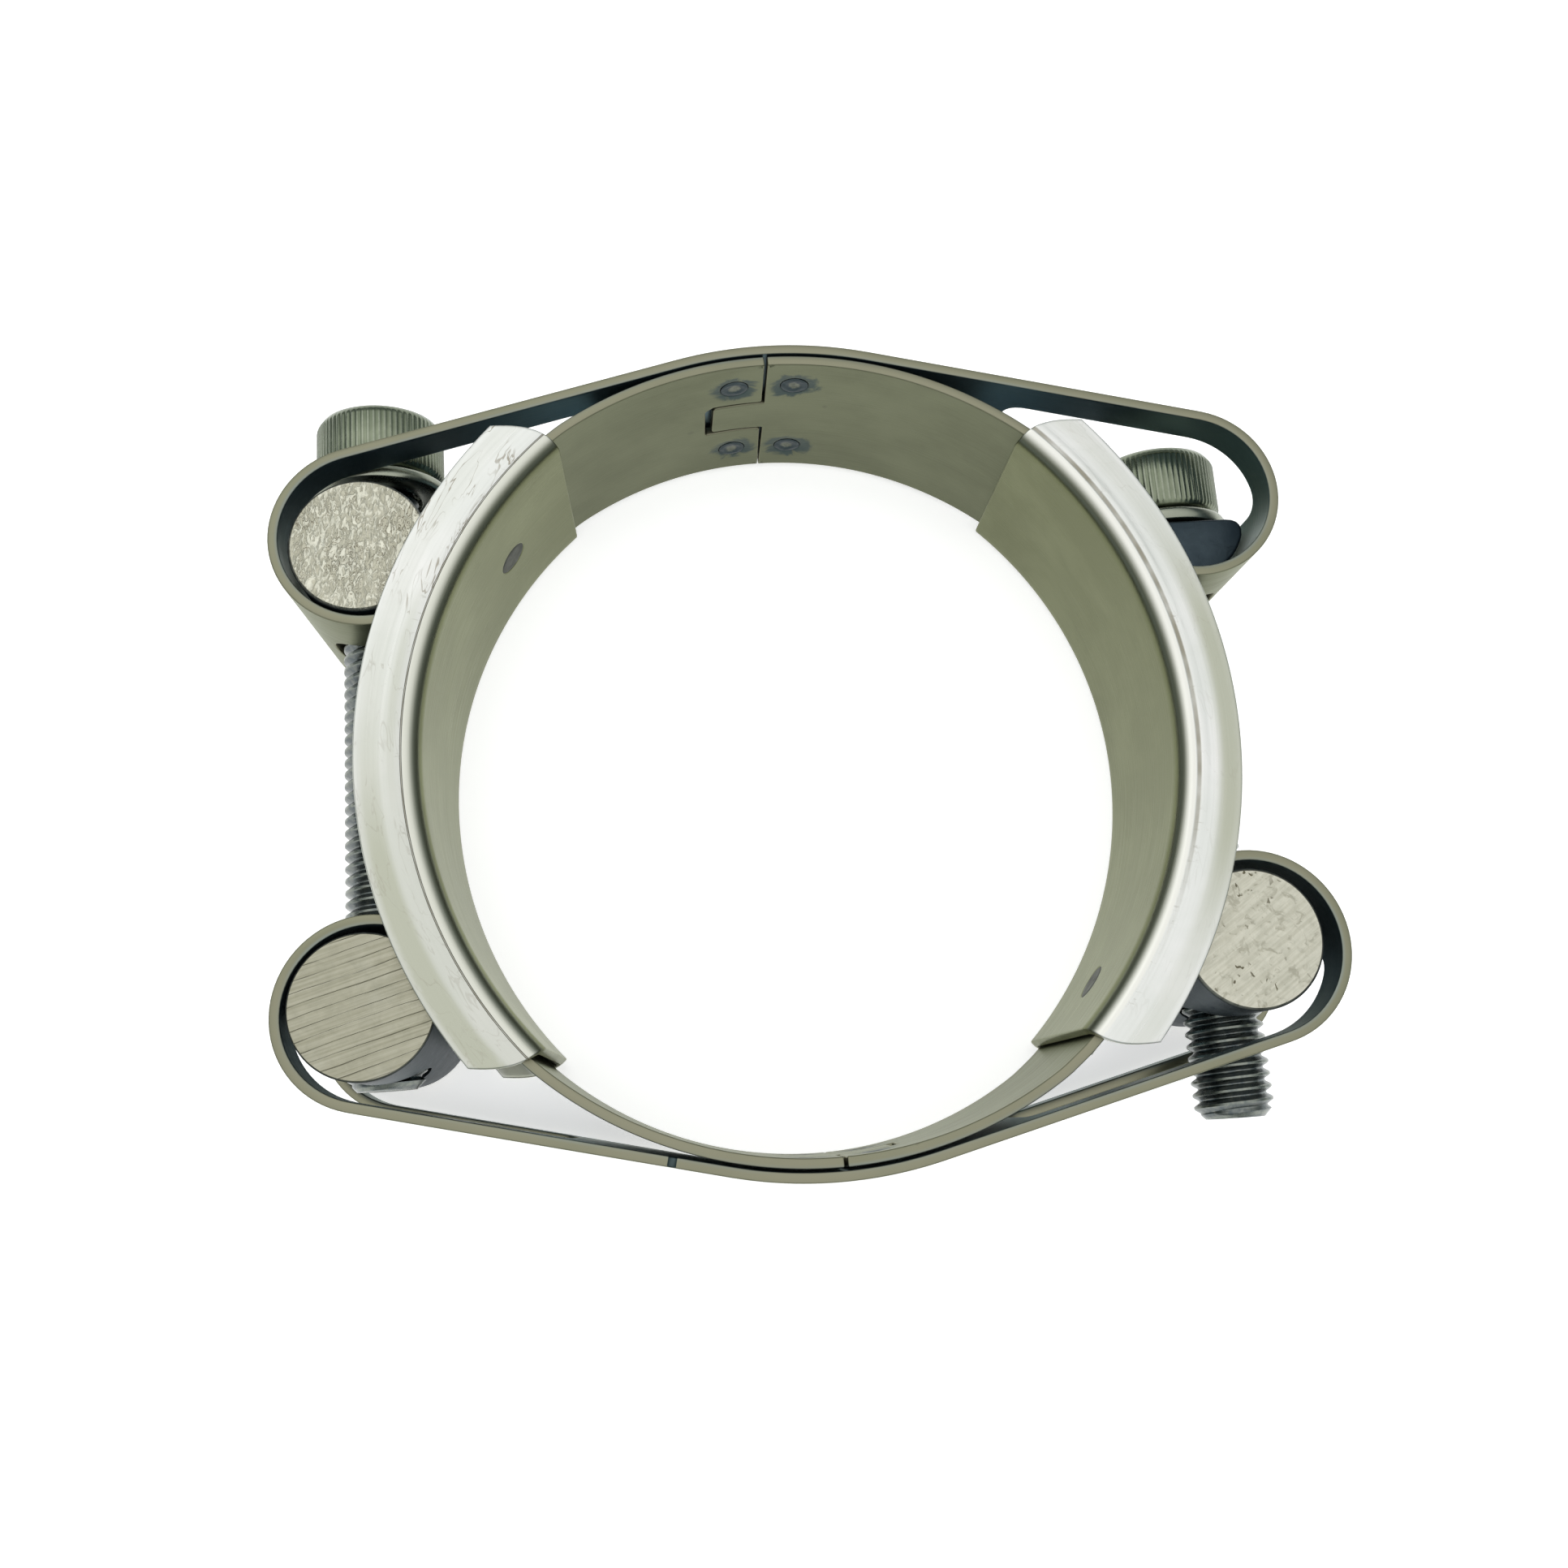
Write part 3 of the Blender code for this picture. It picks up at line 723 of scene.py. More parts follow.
# ---------------------------------------------------------------- straps

def bars_of_upper_shape(half):
    """Bar centres in eyes A and B, in the half's own frame."""
    if half == "upper":
        return UPPER_LEFT_BAR, UPPER_RIGHT_SEAT
    return tuple((-x, -y) for x, y in (LOWER_RIGHT_BAR, LOWER_LEFT_BAR))


def weld_spots():
    """Centres of the four spot welds on the strap's flat pattern, numbered as in the CAD."""
    return [(turn * WELD_ARC, z) for z in WELD_Z for turn in (1, -1)]


def strap_path():
    return Path(strap_loop(SHEET / 2), STATION / 2, polar(RING_RADIUS + SHEET / 2, SEAM_ANGLE))


def slot_outlines(path):
    """The two slots in the outer runs, from beside each eye to where the run nears the ring."""
    eye_a, eye_b = eye_centre("A"), eye_centre("B")
    side_a = path.nearest((eye_a[0] - EYE_A_RADIUS + SHEET / 2, eye_a[1]))
    side_b = path.nearest((eye_b[0] + EYE_B_RADIUS - SHEET / 2, eye_b[1]))
    normal_a = radians(outer_run_normal(eye_a, EYE_A_RADIUS, -1))
    normal_b = radians(outer_run_normal(eye_b, EYE_B_RADIUS, 1))
    run = APEX_RADIUS - SHEET / 2
    inner_a = path.nearest((-SLOT_START, (run + SLOT_START * cos(normal_a)) / sin(normal_a)))
    inner_b = path.nearest((SLOT_START, (run - SLOT_START * cos(normal_b)) / sin(normal_b)))
    low, high = (BAND_WIDTH - SLOT_WIDTH) / 2, (BAND_WIDTH + SLOT_WIDTH) / 2
    return [finely(rounded([(start, low), (end, low), (end, high), (start, high)],
                           [SLOT_CORNER] * 4, 7), STATION)
            for start, end in ((side_a, inner_a), (inner_b, side_b))]


def make_strap(half, path, material):
    length = path.length
    gap = SEAM_GAP / 2
    low, high = TONGUE_Z
    outline = rounded(
        [(0.04, 0), (length - 0.04, 0), (length - gap, low + gap),
         (length + TONGUE_LENGTH - 0.75, low + gap + 0.1),
         (length + TONGUE_LENGTH - 0.9, high - gap - 0.1), (length - gap, high - gap),
         (length - gap, BAND_WIDTH), (gap, BAND_WIDTH), (gap, high + gap),
         (TONGUE_LENGTH - 0.9, high + gap), (TONGUE_LENGTH, high - 0.6),
         (TONGUE_LENGTH, low - gap), (gap, low - gap)],
        [0.2, 0.2, 0.3, 0.5, 0.5, 0.3, 0.2, 0.2, 0.35, 0.3, 0.5, 0.4, 0.35])
    outline = finely(outline, STATION)
    if half == "lower":
        punched = path.nearest(PUNCH_MARK)
        outline = notch(outline, punched)
    middle = BAND_WIDTH / 2
    holes = slot_outlines(path)
    for bar in bars_of_upper_shape(half):
        below = (bar[0] + SHANK_EXIT * sin(SCREW_TILT), bar[1] - SHANK_EXIT * cos(SCREW_TILT))
        holes.append(circle((path.nearest(below), middle), SHANK_HOLE / 2, 44))
    rivet = path.nearest(polar(BRIDGE_BACK + FIXED_GAP + SHEET / 2, RIVET_ANGLE, BRIDGE_CENTRE))
    holes.append(circle((rivet, middle), RIVET_RADIUS + RIVET_PLAY, ROUND))
    welds = [(s if s > 0 else length + s, z) for s, z in weld_spots()]
    holes += [circle(weld, WELD_RADIUS + WELD_PLAY, ROUND) for weld in welds]
    grid = [(s, z) for s in np.arange(0, length + TONGUE_LENGTH, STATION)
            for z in np.linspace(0.9, BAND_WIDTH - 0.9, 10)]
    grid += [p for weld in welds for r in (2.2, 2.7, 3.3, 4.1) for p in circle(weld, r, ROUND)]

    def bend(s, z, t):
        sunk = sum(0.10 * bell((np.hypot(s - ws, z - wz) - WELD_RADIUS).clip(0), 0, 0.7)
                   for ws, wz in welds)
        flat = path.at(s, t - SHEET / 2 + np.where(t < SHEET / 2, sunk, 0.0))
        return turned_half(np.column_stack([flat, STRAP_Z + z]), half)

    data, points = sheet_mesh(half + "_strap_band", outline, holes, grid, SHEET, bend)
    s, z, depth = points.T
    heat_tint_and_notch_shade = np.zeros(len(points))
    for ws, wz in welds:
        heat_tint_and_notch_shade = np.maximum(heat_tint_and_notch_shade, bell(np.hypot(s - ws, (z - wz) * 1.15), 0, 3.2, 3))
    heat_tint_and_notch_shade[depth > SHEET * 0.7] = 0
    if half == "lower":
        # The punched notch gets the full dark colour: painted shade in the notch.
        heat_tint_and_notch_shade[(np.abs(s - punched) < 0.42) & (z > BAND_WIDTH - 0.2)] = 1.0
    sheared = (depth > 0.02 * SHEET) & (depth < 0.98 * SHEET)
    write_layers(data, scorch=heat_tint_and_notch_shade, rim=sheared)
    strap = new_piece(half + "_strap_band", data, material)
    belong(strap, half + "_strap", half + "_half")


def notch(outline, s, width=0.8, depth=0.12):
    """A shallow punch mark in the upper edge of the strap."""
    reach, out = width / 2, []
    for i, a in enumerate(outline):
        b = outline[(i + 1) % len(outline)]
        if a[1] != BAND_WIDTH or abs(a[0] - s) > reach + 0.2:
            out.append(a)
        if a[1] == b[1] == BAND_WIDTH and a[0] > s > b[0]:
            right = [(s + reach + 0.08, BAND_WIDTH), (s + reach, BAND_WIDTH),
                     (s + reach - 0.05, BAND_WIDTH - depth)]
            left = [(s - reach + 0.05, BAND_WIDTH - depth), (s - reach, BAND_WIDTH),
                    (s - reach - 0.08, BAND_WIDTH)]
            out += right + left
    return out


def make_welds(half, path, material):
    """Each spot weld is a dimple with a raised, uneven ring where the metal squeezed out."""
    rng = random.Random(7 if half == "upper" else 19)
    rows, back = 9, SHEET - 0.02
    for number, (s0, z0) in enumerate(weld_spots(), 1):
        bias = rng.uniform(0, tau)
        points = [(s0, z0, 0.16)]
        for share in (r / rows for r in range(1, rows + 1)):
            for c, (x, y) in enumerate(circle((s0, z0), WELD_RADIUS * share, ROUND)):
                angle = tau * c / ROUND
                wave = 0.09 * sin(2 * angle + bias) + 0.06 * sin(5 * angle - bias)
                ring = 0.07 * bell(share, 0.72 - wave, 0.16)
                points.append((x, y, 0.10 + 0.13 * bell(share, 0, 0.42 + wave) - ring))
        points += [(x, y, back) for x, y in circle((s0, z0), WELD_RADIUS, ROUND)]
        points.append((s0, z0, back))
        p = np.array(points)
        flat = path.at(p[:, 0], p[:, 2] - SHEET / 2)
        where = turned_half(np.column_stack([flat, STRAP_Z + p[:, 1]]), half)
        name = f"{half}_spot_weld_{number}"
        faces = capped(numbered(1, rows + 1, ROUND), len(points) - 1)
        data = new_mesh(name + "_dimple", where, faces)
        share = np.hypot(p[:, 0] - s0, p[:, 1] - z0) / WELD_RADIUS
        write_layers(data, burnt=np.clip((share - 0.2) / 0.5, 0, 0.85))
        weld = new_piece(name + "_dimple", data, material, 50)
        belong(weld, name, half + "_half")


# ---------------------------------------------------------------- bridges

def bridge_profile():
    """Middle line of the channel section, from one rim to the other, by length."""
    mid_fold = BRIDGE_FOLD - BRIDGE_SHEET / 2
    low = BRIDGE_SHEET / 2
    high = TOTAL_WIDTH - BRIDGE_SHEET / 2
    bend = BRIDGE_RADIUS + BRIDGE_FOLD
    points = [(BRIDGE_RIM_RADIUS, high), (bend, high)]
    points += arc((bend, TOTAL_WIDTH - BRIDGE_FOLD), mid_fold, 90, 180, 6)[1:]
    points += arc((bend, BRIDGE_FOLD), mid_fold, 180, 270, 6)
    p = np.array(points + [(BRIDGE_RIM_RADIUS, low)])
    return p, run_along(p)


def crease(side, flat, along):
    """Height of the rolled flange over its flat, for a distance flat outside the fold.

    along runs from -1 to 1 over the length of the bridge.
    """
    ripple = 0.012 * np.sin(along * 9.0 + 0.6) + 0.006 * np.sin(along * 23.0)
    ditch = bell(flat, 0.05, 0.16) * (0.045 + ripple)
    if side == "left":
        return bell(flat, 1.3, 0.9) * 0.05 * (1 + along) - ditch - 0.03 * (flat / 4.6) ** 2
    ridge = bell(flat, 0.75, 0.42) * (0.08 + ripple) * rising(along, 0.45, -9)
    return ridge - ditch - 0.09 * (flat / 4.6) ** 2 + 0.02


def flange_shade_and_scuffs(side, flat, along):
    """How much grey painted shade, scuffs and painted crease shade the flange gets, each from 0 to
    1.
    """
    # The grey band over the flange's middle, the darker end of the left flange and the line along
    # the crease are painted shade; the scuffs are wear.
    middle = bell(flat, 3.05, 1.05, 4)
    if side == "left":
        flange_shade = middle * (0.15 + 0.75 * rising(along, 0.25, 7))
        flange_shade += 0.45 * bell(flat, 1.0, 0.6) * bell(along, -0.15, 0.3)
        flange_shade += 0.50 * rising(along, 0.05, 5)
        scuffed = 0.25 + 0.75 * rising(along, -0.35, -12)
        crease_shade = np.full(len(flat), 0.9)
    else:
        flange_shade = middle * 0.25 + 0.85 * rising(flat, 2.5, 5) * bell(along, 0.05, 0.5, 4)
        scuffed = np.full(len(flat), 0.12)
        crease_shade = 0.95 * rising(along, 0.4, -10)
    return {"flange_shade": np.clip(flange_shade, 0, 1), "scuffed": scuffed, "crease_shade": crease_shade}


def make_bridge(side, half, material):
    section, run = bridge_profile()
    width = float(run[-1])
    tangent = unit(np.gradient(section, run, axis=0))
    normal = np.stack([tangent[:, 1], -tangent[:, 0]], 1)
    scale = radians(1) * BRIDGE_BACK
    middle = BRIDGE_MIDDLES[half]
    flange = BRIDGE_RIM_RADIUS - BRIDGE_RADIUS - BRIDGE_FOLD
    reach = run[1] + (run[2] - run[1]) * 15
    half_span = BRIDGE_WEB_SPAN / 2 * scale

    def span(v):
        """Half the bridge's length, in degrees, at a place in its width."""
        share = np.minimum(v, width - v) / reach
        if share >= 1:
            return BRIDGE_WEB_SPAN / 2
        narrowing = (BRIDGE_RIM_SPAN - BRIDGE_WEB_SPAN) / 2 * (1 - share)
        return BRIDGE_WEB_SPAN / 2 + narrowing + CORNER_BULGE * np.sin(np.pi * share)

    edge = np.linspace(0, width, 90)
    outline = [(span(v) * scale, v) for v in edge]
    outline = finely(outline + [(-span(v) * scale, v) for v in edge[::-1]], 0.6)
    at_rivet = ((RIVET_ANGLE - middle) * scale, width / 2)
    holes = [circle(at_rivet, RIVET_RADIUS + RIVET_PLAY, ROUND)]
    near = np.concatenate([np.arange(0.35, flange, 0.24), np.arange(flange, reach, 0.2)])
    across = np.concatenate([near, np.linspace(reach + 0.4, width - reach - 0.4, 12),
                             width - near[::-1]])
    grid = [(u, v) for u in np.arange(-half_span, half_span, 0.8) for v in across]

    def lengthwise(u):
        """-1 at the end nearer the screw heads, 1 at the other."""
        return (u if side == "left" else -u) / half_span

    def bend(u, v, t):
        base = looked_up(v, run, section)
        base = base + unit(looked_up(v, run, normal)) * (t - BRIDGE_SHEET / 2)[:, None]
        rim = np.minimum(v, width - v)
        shaped = (rim < flange + 0.5) & (v < width / 2)
        lift = np.where(shaped, crease(side, flange - rim, lengthwise(u)), 0.0)
        height = base[:, 1] + np.where(v < width / 2, 1.0, -1.0) * (lift - 0.05)
        angle = np.radians(middle + u / scale)
        where = np.column_stack([BRIDGE_CENTRE[0] + base[:, 0] * np.cos(angle),
                                 BRIDGE_CENTRE[1] + base[:, 0] * np.sin(angle), height])
        return turned_half(where, half)

    name = side + "_bridge_channel"
    data, points = sheet_mesh(name, outline, holes, grid, BRIDGE_SHEET, bend)
    rim = np.minimum(points[:, 1], width - points[:, 1])
    shade_and_scuffs = flange_shade_and_scuffs(side, flange - rim, lengthwise(points[:, 0]))
    write_layers(data, section=rim / 10, **shade_and_scuffs)
    belong(new_piece(name, data, material), side + "_bridge", half + "_half")


def make_rivet(side, half, material):
    """The plug that holds bridge and strap together, ground nearly flush."""
    grip = BRIDGE_SHEET + FIXED_GAP + SHEET
    rng = random.Random(5 if side == "left" else 11)
    rings = [(0.35, 0.015), (0.7, -0.02), (0.93, 0.0), (1.0, 0.06), (1.0, grip - 0.06),
             (0.93, grip), (0.5, grip - 0.03)]
    points = [(0.0, 0.0, 0.02)]
    for share, depth in rings:
        for x, y in circle((0, 0), RIVET_RADIUS * share, ROUND):
            uneven = rng.uniform(-0.012, 0.012) if share < 0.95 else 0.0
            points.append((x, y, depth + uneven))
    points.append((0.0, 0.0, grip - 0.03))
    x, y, depth = np.array(points).T
    angle = np.radians(RIVET_ANGLE) - x / BRIDGE_RADIUS
    radius = BRIDGE_RADIUS + depth
    where = np.column_stack([BRIDGE_CENTRE[0] + radius * np.cos(angle),
                             BRIDGE_CENTRE[1] + radius * np.sin(angle), MIDDLE_Z + y])
    name = side + "_bridge_rivet"
    faces = capped(numbered(1, len(rings), ROUND), len(points) - 1)
    data = new_mesh(name + "_plug", turned_half(where, half), faces)
    rivet = new_piece(name + "_plug", data, material, 40)
    belong(rivet, name, half + "_half")


# ---------------------------------------------------------------- bars

def relief(kind, x, y):
    """Height of a sawn end over its flat."""
    rough = noise.fractal(Vector((x * 1.7, y * 1.7, 3.1)), 0.9, 2.1, 3) * 0.03
    if kind == "mottled":
        return rough * 1.5 + noise.noise(Vector((x * 3.6, y * 3.6, 8.0))) * 0.03
    return rough * 0.6


def end_grid(radius, step):
    count = int(radius / step) + 1
    return [(i * step + (step / 2 if j % 2 else 0), j * step * 0.87)
            for i in range(-count, count + 1) for j in range(-count - 3, count + 4)]


def drill(item, centre, hole, name):
    """Cut the cross hole for the screw and apply the cut."""
    mesh = bmesh.new()
    bmesh.ops.create_cone(mesh, cap_ends=True, segments=48, radius1=hole / 2 * MM,
                          radius2=hole / 2 * MM, depth=DRILL_LENGTH * MM)
    data = bpy.data.meshes.new(name)
    mesh.to_mesh(data)
    mesh.free()
    cutter = new_object(name, data)
    cutter.location = (centre[0] * MM, centre[1] * MM, MIDDLE_Z * MM)
    cutter.rotation_euler = (-pi / 2, 0, SCREW_TILT)
    boolean = item.modifiers.new("Cross hole", "BOOLEAN")
    boolean.operation = "DIFFERENCE"
    boolean.solver = "EXACT"
    boolean.object = cutter
    bpy.context.view_layer.update()
    evaluated = item.evaluated_get(bpy.context.evaluated_depsgraph_get())
    done = bpy.data.meshes.new_from_object(evaluated)
    old = item.data
    item.modifiers.clear()
    item.data = done
    bpy.data.meshes.remove(old)
    bpy.data.objects.remove(cutter, do_unlink=True)
    smoothed(done, 40)


def make_bar(node, centre, hole, kind, material, body):
    """A round bar with sawn ends, softened round its edges."""
    outline = circle((0, 0), BAR_RADIUS, 120)
    count = len(outline)
    chamfer = 0.18 if kind == "ridged" else 0.28
    flat_radius = BAR_RADIUS - chamfer
    grid = np.array(end_grid(BAR_RADIUS, END_STEP))
    grid = grid[norms(grid) < flat_radius - 0.15]
    verts, faces, index = triangulated([offset(outline, chamfer)], grid)
    near, far = MIDDLE_Z + BAND_WIDTH / 2, MIDDLE_Z - BAND_WIDTH / 2
    points, polys = [], []
    for z, sign in ((near, 1), (far, -1)):
        base = len(points)
        for x, y in verts:
            edge = min(1.0, (flat_radius - hypot(x, y)) / 0.5)
            lift = relief(kind, x, y) * max(edge, 0)
            points.append((centre[0] + x, centre[1] + y, z + sign * (lift - END_SUNK)))
        polys += [tuple(int(i) + base for i in f[::sign]) for f in faces]
    end = [1.0] * len(points) + [0.0] * (2 * count)
    rim = [index[i] for i in range(count)]
    rows = [rim, *numbered(len(points), 2, count), [i + len(verts) for i in rim]]
    for z in (near - END_SUNK - chamfer, far + END_SUNK + chamfer):
        points += [(centre[0] + x, centre[1] + y, z) for x, y in outline]
    data = new_mesh(node + "_bar", points, polys + ring_faces(rows))
    write_layers(data, end=end)
    bar = new_piece(node + "_bar", data, material)
    drill(bar, centre, hole, node + "_drill")
    belong(bar, node, body)


def eased(outline, inset, drop):
    """The outline with the two corners of its closing edge rounded off."""
    body = [np.array(p) for p in outline[drop:-drop]]
    first, last = np.array(outline[0]), np.array(outline[-1])
    along = (last - first) / np.hypot(*(last - first))

    def curve(a, corner, b):
        return [a * (1 - t) ** 2 + corner * 2 * t * (1 - t) + b * t ** 2
                for t in (0.2, 0.4, 0.6, 0.8, 1.0)]

    into = curve(body[-1], last, last - along * inset)
    back = curve(body[0], first, first + along * inset)[::-1]
    return [tuple(p) for p in body + into + back]


def make_seat(material):
    """Half-round seat under the right washer."""
    centre = UPPER_RIGHT_SEAT
    flat = RIGHT_HEAD_TOP - HEAD_HEIGHT - WASHER_THICKNESS - 2 * CLEARANCE
    swing, tilt = degrees(atan2(flat, BAR_RADIUS)), degrees(SCREW_TILT)
    outline = arc((0, 0), BAR_RADIUS, 180 - swing + tilt, 360 + swing + tilt, 4)
    outline = eased(outline, 2.0, 4)
    mesh = bmesh.new()
    low, high = MIDDLE_Z - SEAT_LENGTH / 2, MIDDLE_Z + SEAT_LENGTH / 2
    bottom = [mesh.verts.new(((centre[0] + x) * MM, (centre[1] + y) * MM, low * MM))
              for x, y in outline]
    top = [mesh.verts.new((v.co.x, v.co.y, high * MM)) for v in bottom]
    mesh.faces.new(bottom[::-1])
    mesh.faces.new(top)
    for i in range(len(bottom)):
        j = (i + 1) % len(bottom)
        mesh.faces.new((bottom[i], bottom[j], top[j], top[i]))
    bmesh.ops.recalc_face_normals(mesh, faces=mesh.faces)
    sharp = [e for e in mesh.edges if e.calc_face_angle(0) > radians(40)]
    bmesh.ops.bevel(mesh, geom=sharp, offset=0.35 * MM, segments=3, profile=0.5,
                    affect="EDGES")
    data = bpy.data.meshes.new("upper_right_seat_block")
    mesh.to_mesh(data)
    mesh.free()
    seat = new_piece("upper_right_seat_block", data, material, 40)
    drill(seat, centre, PLAIN_HOLE, "seat_drill")
    belong(seat, "upper_right_seat", "right_seat")


# ---------------------------------------------------------------- screws

def screw_matrix(centre):
    place = Matrix.Translation(Vector((centre[0], centre[1], MIDDLE_Z)) * MM)
    return place @ Matrix.Rotation(SCREW_TILT, 4, "Z") @ Matrix.Rotation(-pi / 2, 4, "X")


def screw_mesh(name, points, faces, to_frame):
    """A mesh from positions in millimetres along a screw."""
    data = bpy.data.meshes.new(name)
    data.from_pydata([tuple(to_frame @ (Vector(p) * MM)) for p in points], [], faces)
    return data


def head_rows(top):
    """Rows of the head from the socket's middle round to the bearing face.

    Each row is (radius, height, knurl, hexagon): the knurl's depth and how far the row is
    hexagonal rather than round.
    """
    hexagon, edge = SOCKET_ACROSS / 2, HEAD_RADIUS - 0.02
    bottom, deep = top - HEAD_HEIGHT, top - SOCKET_DEPTH
    socket = [(0.9, deep - 0.1, 0), (1.9, deep, 0.3), (hexagon, deep + 0.35, 1),
              (hexagon, deep + 0.6, 1), (hexagon, top - 0.75, 1), (hexagon, top - 0.6, 1)]
    outside = [(3.66, top - 0.12, 0), (3.78, top - 0.03, 0), (3.95, top, 0), (5.55, top, 0),
               (5.85, top - 0.03, 0), (6.25, top - 0.25, 0), (6.5, top - 0.6, 0.01),
               (6.66, top - 0.85, 0.06), (edge, top - 1.15, 0.10), (edge, bottom + 0.75, 0.10),
               (6.66, bottom + 0.5, 0.06), (6.45, bottom + 0.3, 0), (6.3, bottom + 0.06, 0),
               (6.1, bottom, 0)]
    return ([(radius, z, 0, hexagonal) for radius, z, hexagonal in socket]
            + [(radius, z, knurl, 0) for radius, z, knurl in outside])


def thread_rings(bottom, end, columns):
    """Points of the shank, row by row, and how worn each is.

    The thread is one helical strip of crest, flank, root and flank for each turn. It fades
    out at the neck and is chamfered at the tip.
    """
    neck, neck_radius = 1.6, THREAD_RADIUS - 0.45
    tip_length, tip_slope = 1.1, 0.95
    points, worn = [], []
    for turn in range(int(SHANK_LENGTH / THREAD_PITCH) + 3):
        for share, depth in THREAD_PROFILE:
            drop = (turn + share - 1.5) * THREAD_PITCH
            for c in range(columns):
                angle = tau * c / columns
                down = drop + THREAD_PITCH * c / columns
                z = bottom - down
                r = THREAD_RADIUS - THREAD_DEPTH * depth
                if down < neck:
                    blend = max(0.0, min(1.0, (neck - down) / 0.6))
                    r = r * (1 - blend) + neck_radius * blend
                tip = end + tip_length - z
                if tip > 0:
                    r = min(r, THREAD_RADIUS - tip * tip_slope)
                z = max(end, min(bottom, z))
                if z == bottom:
                    r = THREAD_RADIUS - 0.2
                if z == end:
                    r = THREAD_RADIUS - tip_length * tip_slope
                points.append((r * cos(angle), -r * sin(angle), z))
                worn.append(0.55 if depth == 0.0 else 0.0)
    return points, worn


def make_screw(side, centre, head_top, material, body):
    bottom = head_top - HEAD_HEIGHT
    end = bottom - SHANK_LENGTH
    columns = KNURLS * 4
    rows = head_rows(head_top)
    points, worn = [(0.0, 0.0, head_top - SOCKET_DEPTH - 0.45)], [0.0]
    for radius, z, knurl, hexagonal in rows:
        for c in range(columns):
            angle = tau * c / columns
            side_angle = (angle + pi / 6) % (pi / 3) - pi / 6
            r = radius * (1 - hexagonal + hexagonal / cos(side_angle))
            r -= knurl * (0.0, 0.75, 1.0, 0.75)[c % 4]
            points.append((r * cos(angle), r * sin(angle), z))
            worn.append(1.0 if knurl > 0.09 and c % 4 == 0 else 0.0)
    faces = capped(numbered(1, len(rows), columns))
    base, around, jump = len(points), KNURLS, len(THREAD_PROFILE)
    shank, shank_worn = thread_rings(bottom, end, around)
    points += shank
    for a in range(base, len(points) - around):
        # The last point of a row meets the first of the row one turn further down.
        b = a + 1 if (a + 1 - base) % around else a + 1 + (jump - 1) * around
        if b + around < len(points):
            faces.append((a, b, b + around, a + around))
    to_frame = screw_matrix(centre)
    data = screw_mesh(side + "_screw", points, faces, to_frame)
    write_layers(data, thread=[0.0] * base + [1.0] * len(shank), worn=worn + shank_worn)
    close_shank(data, to_frame, bottom, end)
    screw = new_piece(side + "_socket_screw", data, material, 48)
    belong(screw, side + "_bolt", body)


def close_shank(data, to_frame, bottom, end):
    """Weld the helical strip shut and join it to the bearing face of the head."""
    mesh = bmesh.new()
    mesh.from_mesh(data)
    bmesh.ops.remove_doubles(mesh, verts=mesh.verts, dist=2e-6)
    bmesh.ops.dissolve_degenerate(mesh, edges=mesh.edges, dist=1e-7)
    loose = [v for v in mesh.verts if not v.link_faces]
    bmesh.ops.delete(mesh, geom=loose, context="VERTS")
    back = to_frame.inverted()
    rims = [e for e in mesh.edges if len(e.link_faces) == 1]

    def level(edge):
        return sum((back @ v.co).z for v in edge.verts) / 2 / MM

    upper = [e for e in rims if level(e) > bottom - 0.4]
    lower = [e for e in rims if level(e) < end + 0.4]
    bmesh.ops.bridge_loops(mesh, edges=upper)
    bmesh.ops.holes_fill(mesh, edges=lower, sides=0)
    mesh.to_mesh(data)
    mesh.free()


def make_washer(side, centre, head_top, material, body):
    """A punched washer: rolled over on its upper rim, sharp on its lower one."""
    middle = head_top - HEAD_HEIGHT - CLEARANCE - WASHER_THICKNESS / 2
    half, bore, outer = WASHER_THICKNESS / 2, WASHER_BORE / 2, WASHER_RADIUS
    section = [(bore, -half + 0.1), (bore, half - 0.2), (bore + 0.12, half - 0.05),
               (bore + 0.3, half), (outer - 0.7, half), (outer - 0.4, half - 0.05),
               (outer - 0.15, half - 0.2), (outer, half - 0.5), (outer, -half + 0.12),
               (outer - 0.12, -half), (bore + 0.12, -half)]
    points = [(x, y, middle + z) for r, z in section for x, y in circle((0, 0), r, 96)]
    rings = numbered(0, len(section), 96)
    name = side + "_flat_washer"
    data = screw_mesh(name, points, ring_faces(rings + rings[:1]), screw_matrix(centre))
    belong(new_piece(name, data, material, 50), side + "_washer", body)


# ---------------------------------------------------------------- stage

def make_stage():
    size = FLOOR_SIZE_M
    data = bpy.data.meshes.new("floor")
    data.from_pydata([(-size, -size, 0), (size, -size, 0), (size, size, 0), (-size, size, 0)],
                     [], [(0, 1, 2, 3)])
    floor = new_object("floor", data)
    floor.location.z = -FLOOR_DROP_M
    paper = bpy.data.materials.new("pale_floor")
    paper.use_nodes = True
    shader = paper.node_tree.nodes["Principled BSDF"]
    for key, value in (("Base Color", (0.90, 0.90, 0.90, 1)), ("Roughness", 0.9),
                       ("Emission Color", (1, 1, 1, 1)), ("Emission Strength", 0.5)):
        shader.inputs[key].default_value = value
    data.materials.append(paper)


def area_light(name, place, aim, size, power, colour):
    light = bpy.data.lights.new(name, "AREA")
    light.shape = "RECTANGLE"
    light.size, light.size_y = size
    light.energy = power
    light.color = colour
    item = new_object(name, light)
    item.location = place
    item.rotation_euler = (Vector(aim) - Vector(place)).to_track_quat("-Z", "Y").to_euler()


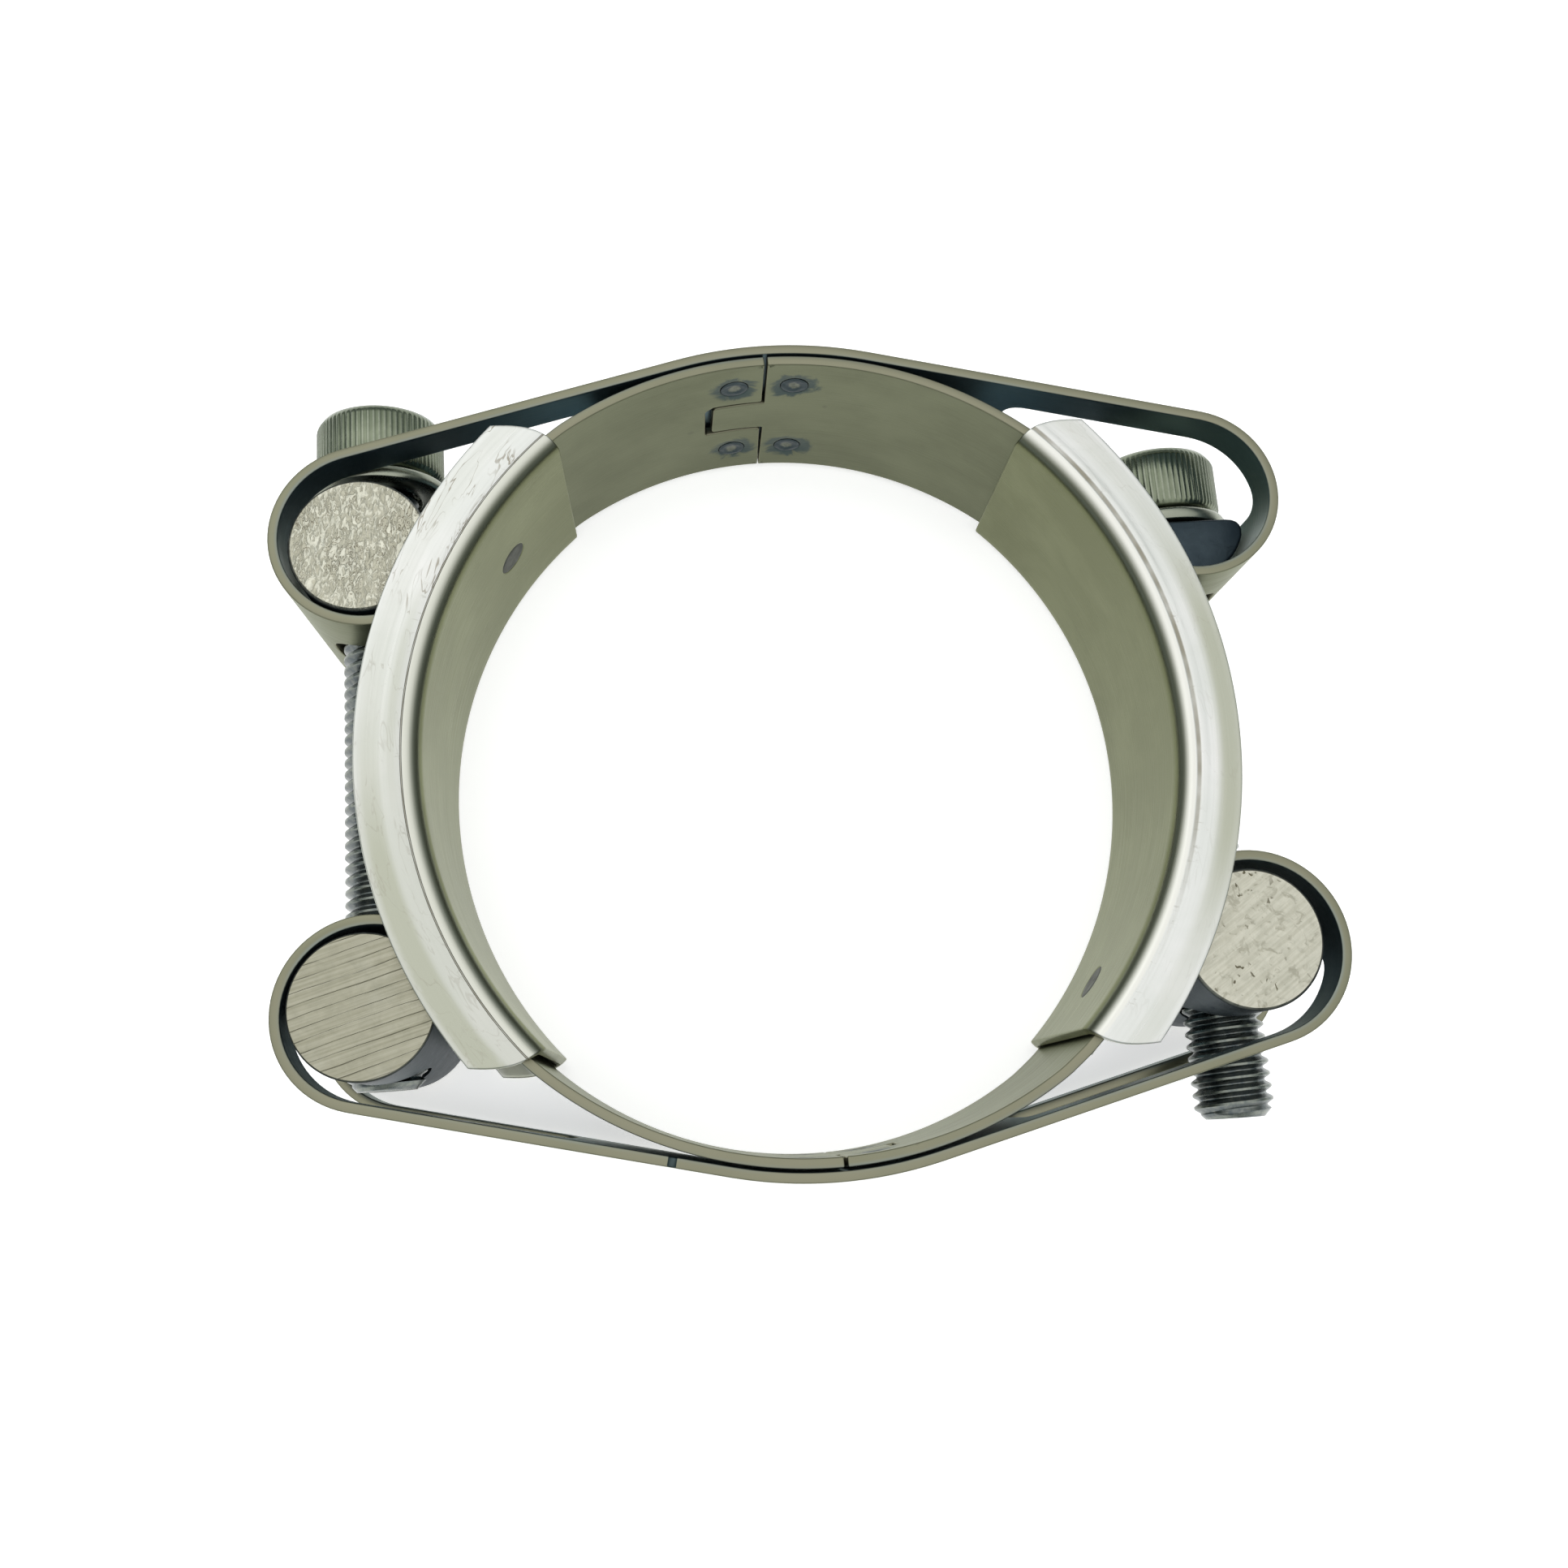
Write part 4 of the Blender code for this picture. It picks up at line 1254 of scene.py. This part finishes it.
def make_sky():
    """A bright soft ceiling over a dim grey-green horizon."""
    world = bpy.data.worlds.new("studio")
    bpy.context.scene.world = world
    world.use_nodes = True
    tree = world.node_tree
    coords, split, ramp = (tree.nodes.new("ShaderNode" + kind)
                           for kind in ("TexCoord", "SeparateXYZ", "ValToRGB"))
    background = tree.nodes["Background"].inputs
    tree.links.new(coords.outputs["Generated"], split.inputs["Vector"])
    tree.links.new(split.outputs["Z"], ramp.inputs["Fac"])
    tree.links.new(ramp.outputs["Color"], background["Color"])
    stops = ramp.color_ramp.elements
    stops[0].position, stops[0].color = 0.0, (0.16, 0.18, 0.18, 1)
    stops[1].position, stops[1].color = 1.0, (1.0, 1.0, 1.0, 1)
    for position, grey in ((0.30, (0.25, 0.285, 0.285)), (0.62, (0.62, 0.64, 0.63)),
                           (0.80, (0.95, 0.96, 0.95))):
        stops.new(position).color = (*grey, 1)
    background["Strength"].default_value = 1.5


def make_camera():
    camera = bpy.data.cameras.new("camera")
    camera.sensor_width = 36
    camera.lens = 34.27
    camera.clip_start = 0.01
    item = new_object("camera", camera)
    item.location = (-0.00993, -0.03765, 0.16799)
    item.rotation_euler = (radians(12.94), radians(-3.2), 0)
    bpy.context.scene.camera = item


def main():
    make_camera()
    make_stage()
    make_sky()
    area_light("key", (-0.5, 0.6, 0.9), (0, 0, 0), (0.8, 0.8), 0.9, (1.0, 1.0, 0.98))
    bpy.context.scene.view_settings.view_transform = "Standard"

    path = strap_path()
    strap_steel = strap_material()
    weld_metal = weld_material()
    rivet_steel = plain_material("rivet_steel", (0.048, 0.053, 0.045), (0.080, 0.085, 0.070),
                                 (0.45, 0.65), 800, 0.00004)
    washer_steel = plain_material("washer_steel", (0.20, 0.215, 0.175), (0.28, 0.295, 0.24),
                                  (0.22, 0.38), 500, 0.00002)
    screw_steel = screw_material()
    # The seat's near-black colour is painted shade under the right washer and head.
    seat_painted_shade = plain_material("seat_painted_shade", (0.020, 0.030, 0.040), (0.040, 0.055, 0.065),
                                (0.4, 0.6), 600, 0.00004)
    for half, side in (("upper", "left"), ("lower", "right")):
        make_strap(half, path, strap_steel)
        make_welds(half, path, weld_metal)
        make_bridge(side, half, bridge_material(side))
        make_rivet(side, half, rivet_steel)
    for place, centre, hole, kind in (("upper_left", UPPER_LEFT_BAR, PLAIN_HOLE, "mottled"),
                                      ("lower_left", LOWER_LEFT_BAR, TAPPED_HOLE, "ridged"),
                                      ("lower_right", LOWER_RIGHT_BAR, TAPPED_HOLE, "pitted")):
        make_bar(place + "_trunnion", centre, hole, kind, sawn_material(kind), place + "_bar")
    make_seat(seat_painted_shade)
    left = ("left", UPPER_LEFT_BAR, LEFT_HEAD_TOP)
    right = ("right", UPPER_RIGHT_SEAT, RIGHT_HEAD_TOP)
    make_screw(*left, screw_steel, "left_screw")
    make_screw(*right, screw_steel, "right_screw")
    make_washer(*left, washer_steel, "left_washer_ring")
    make_washer(*right, washer_steel, "right_screw")


main()
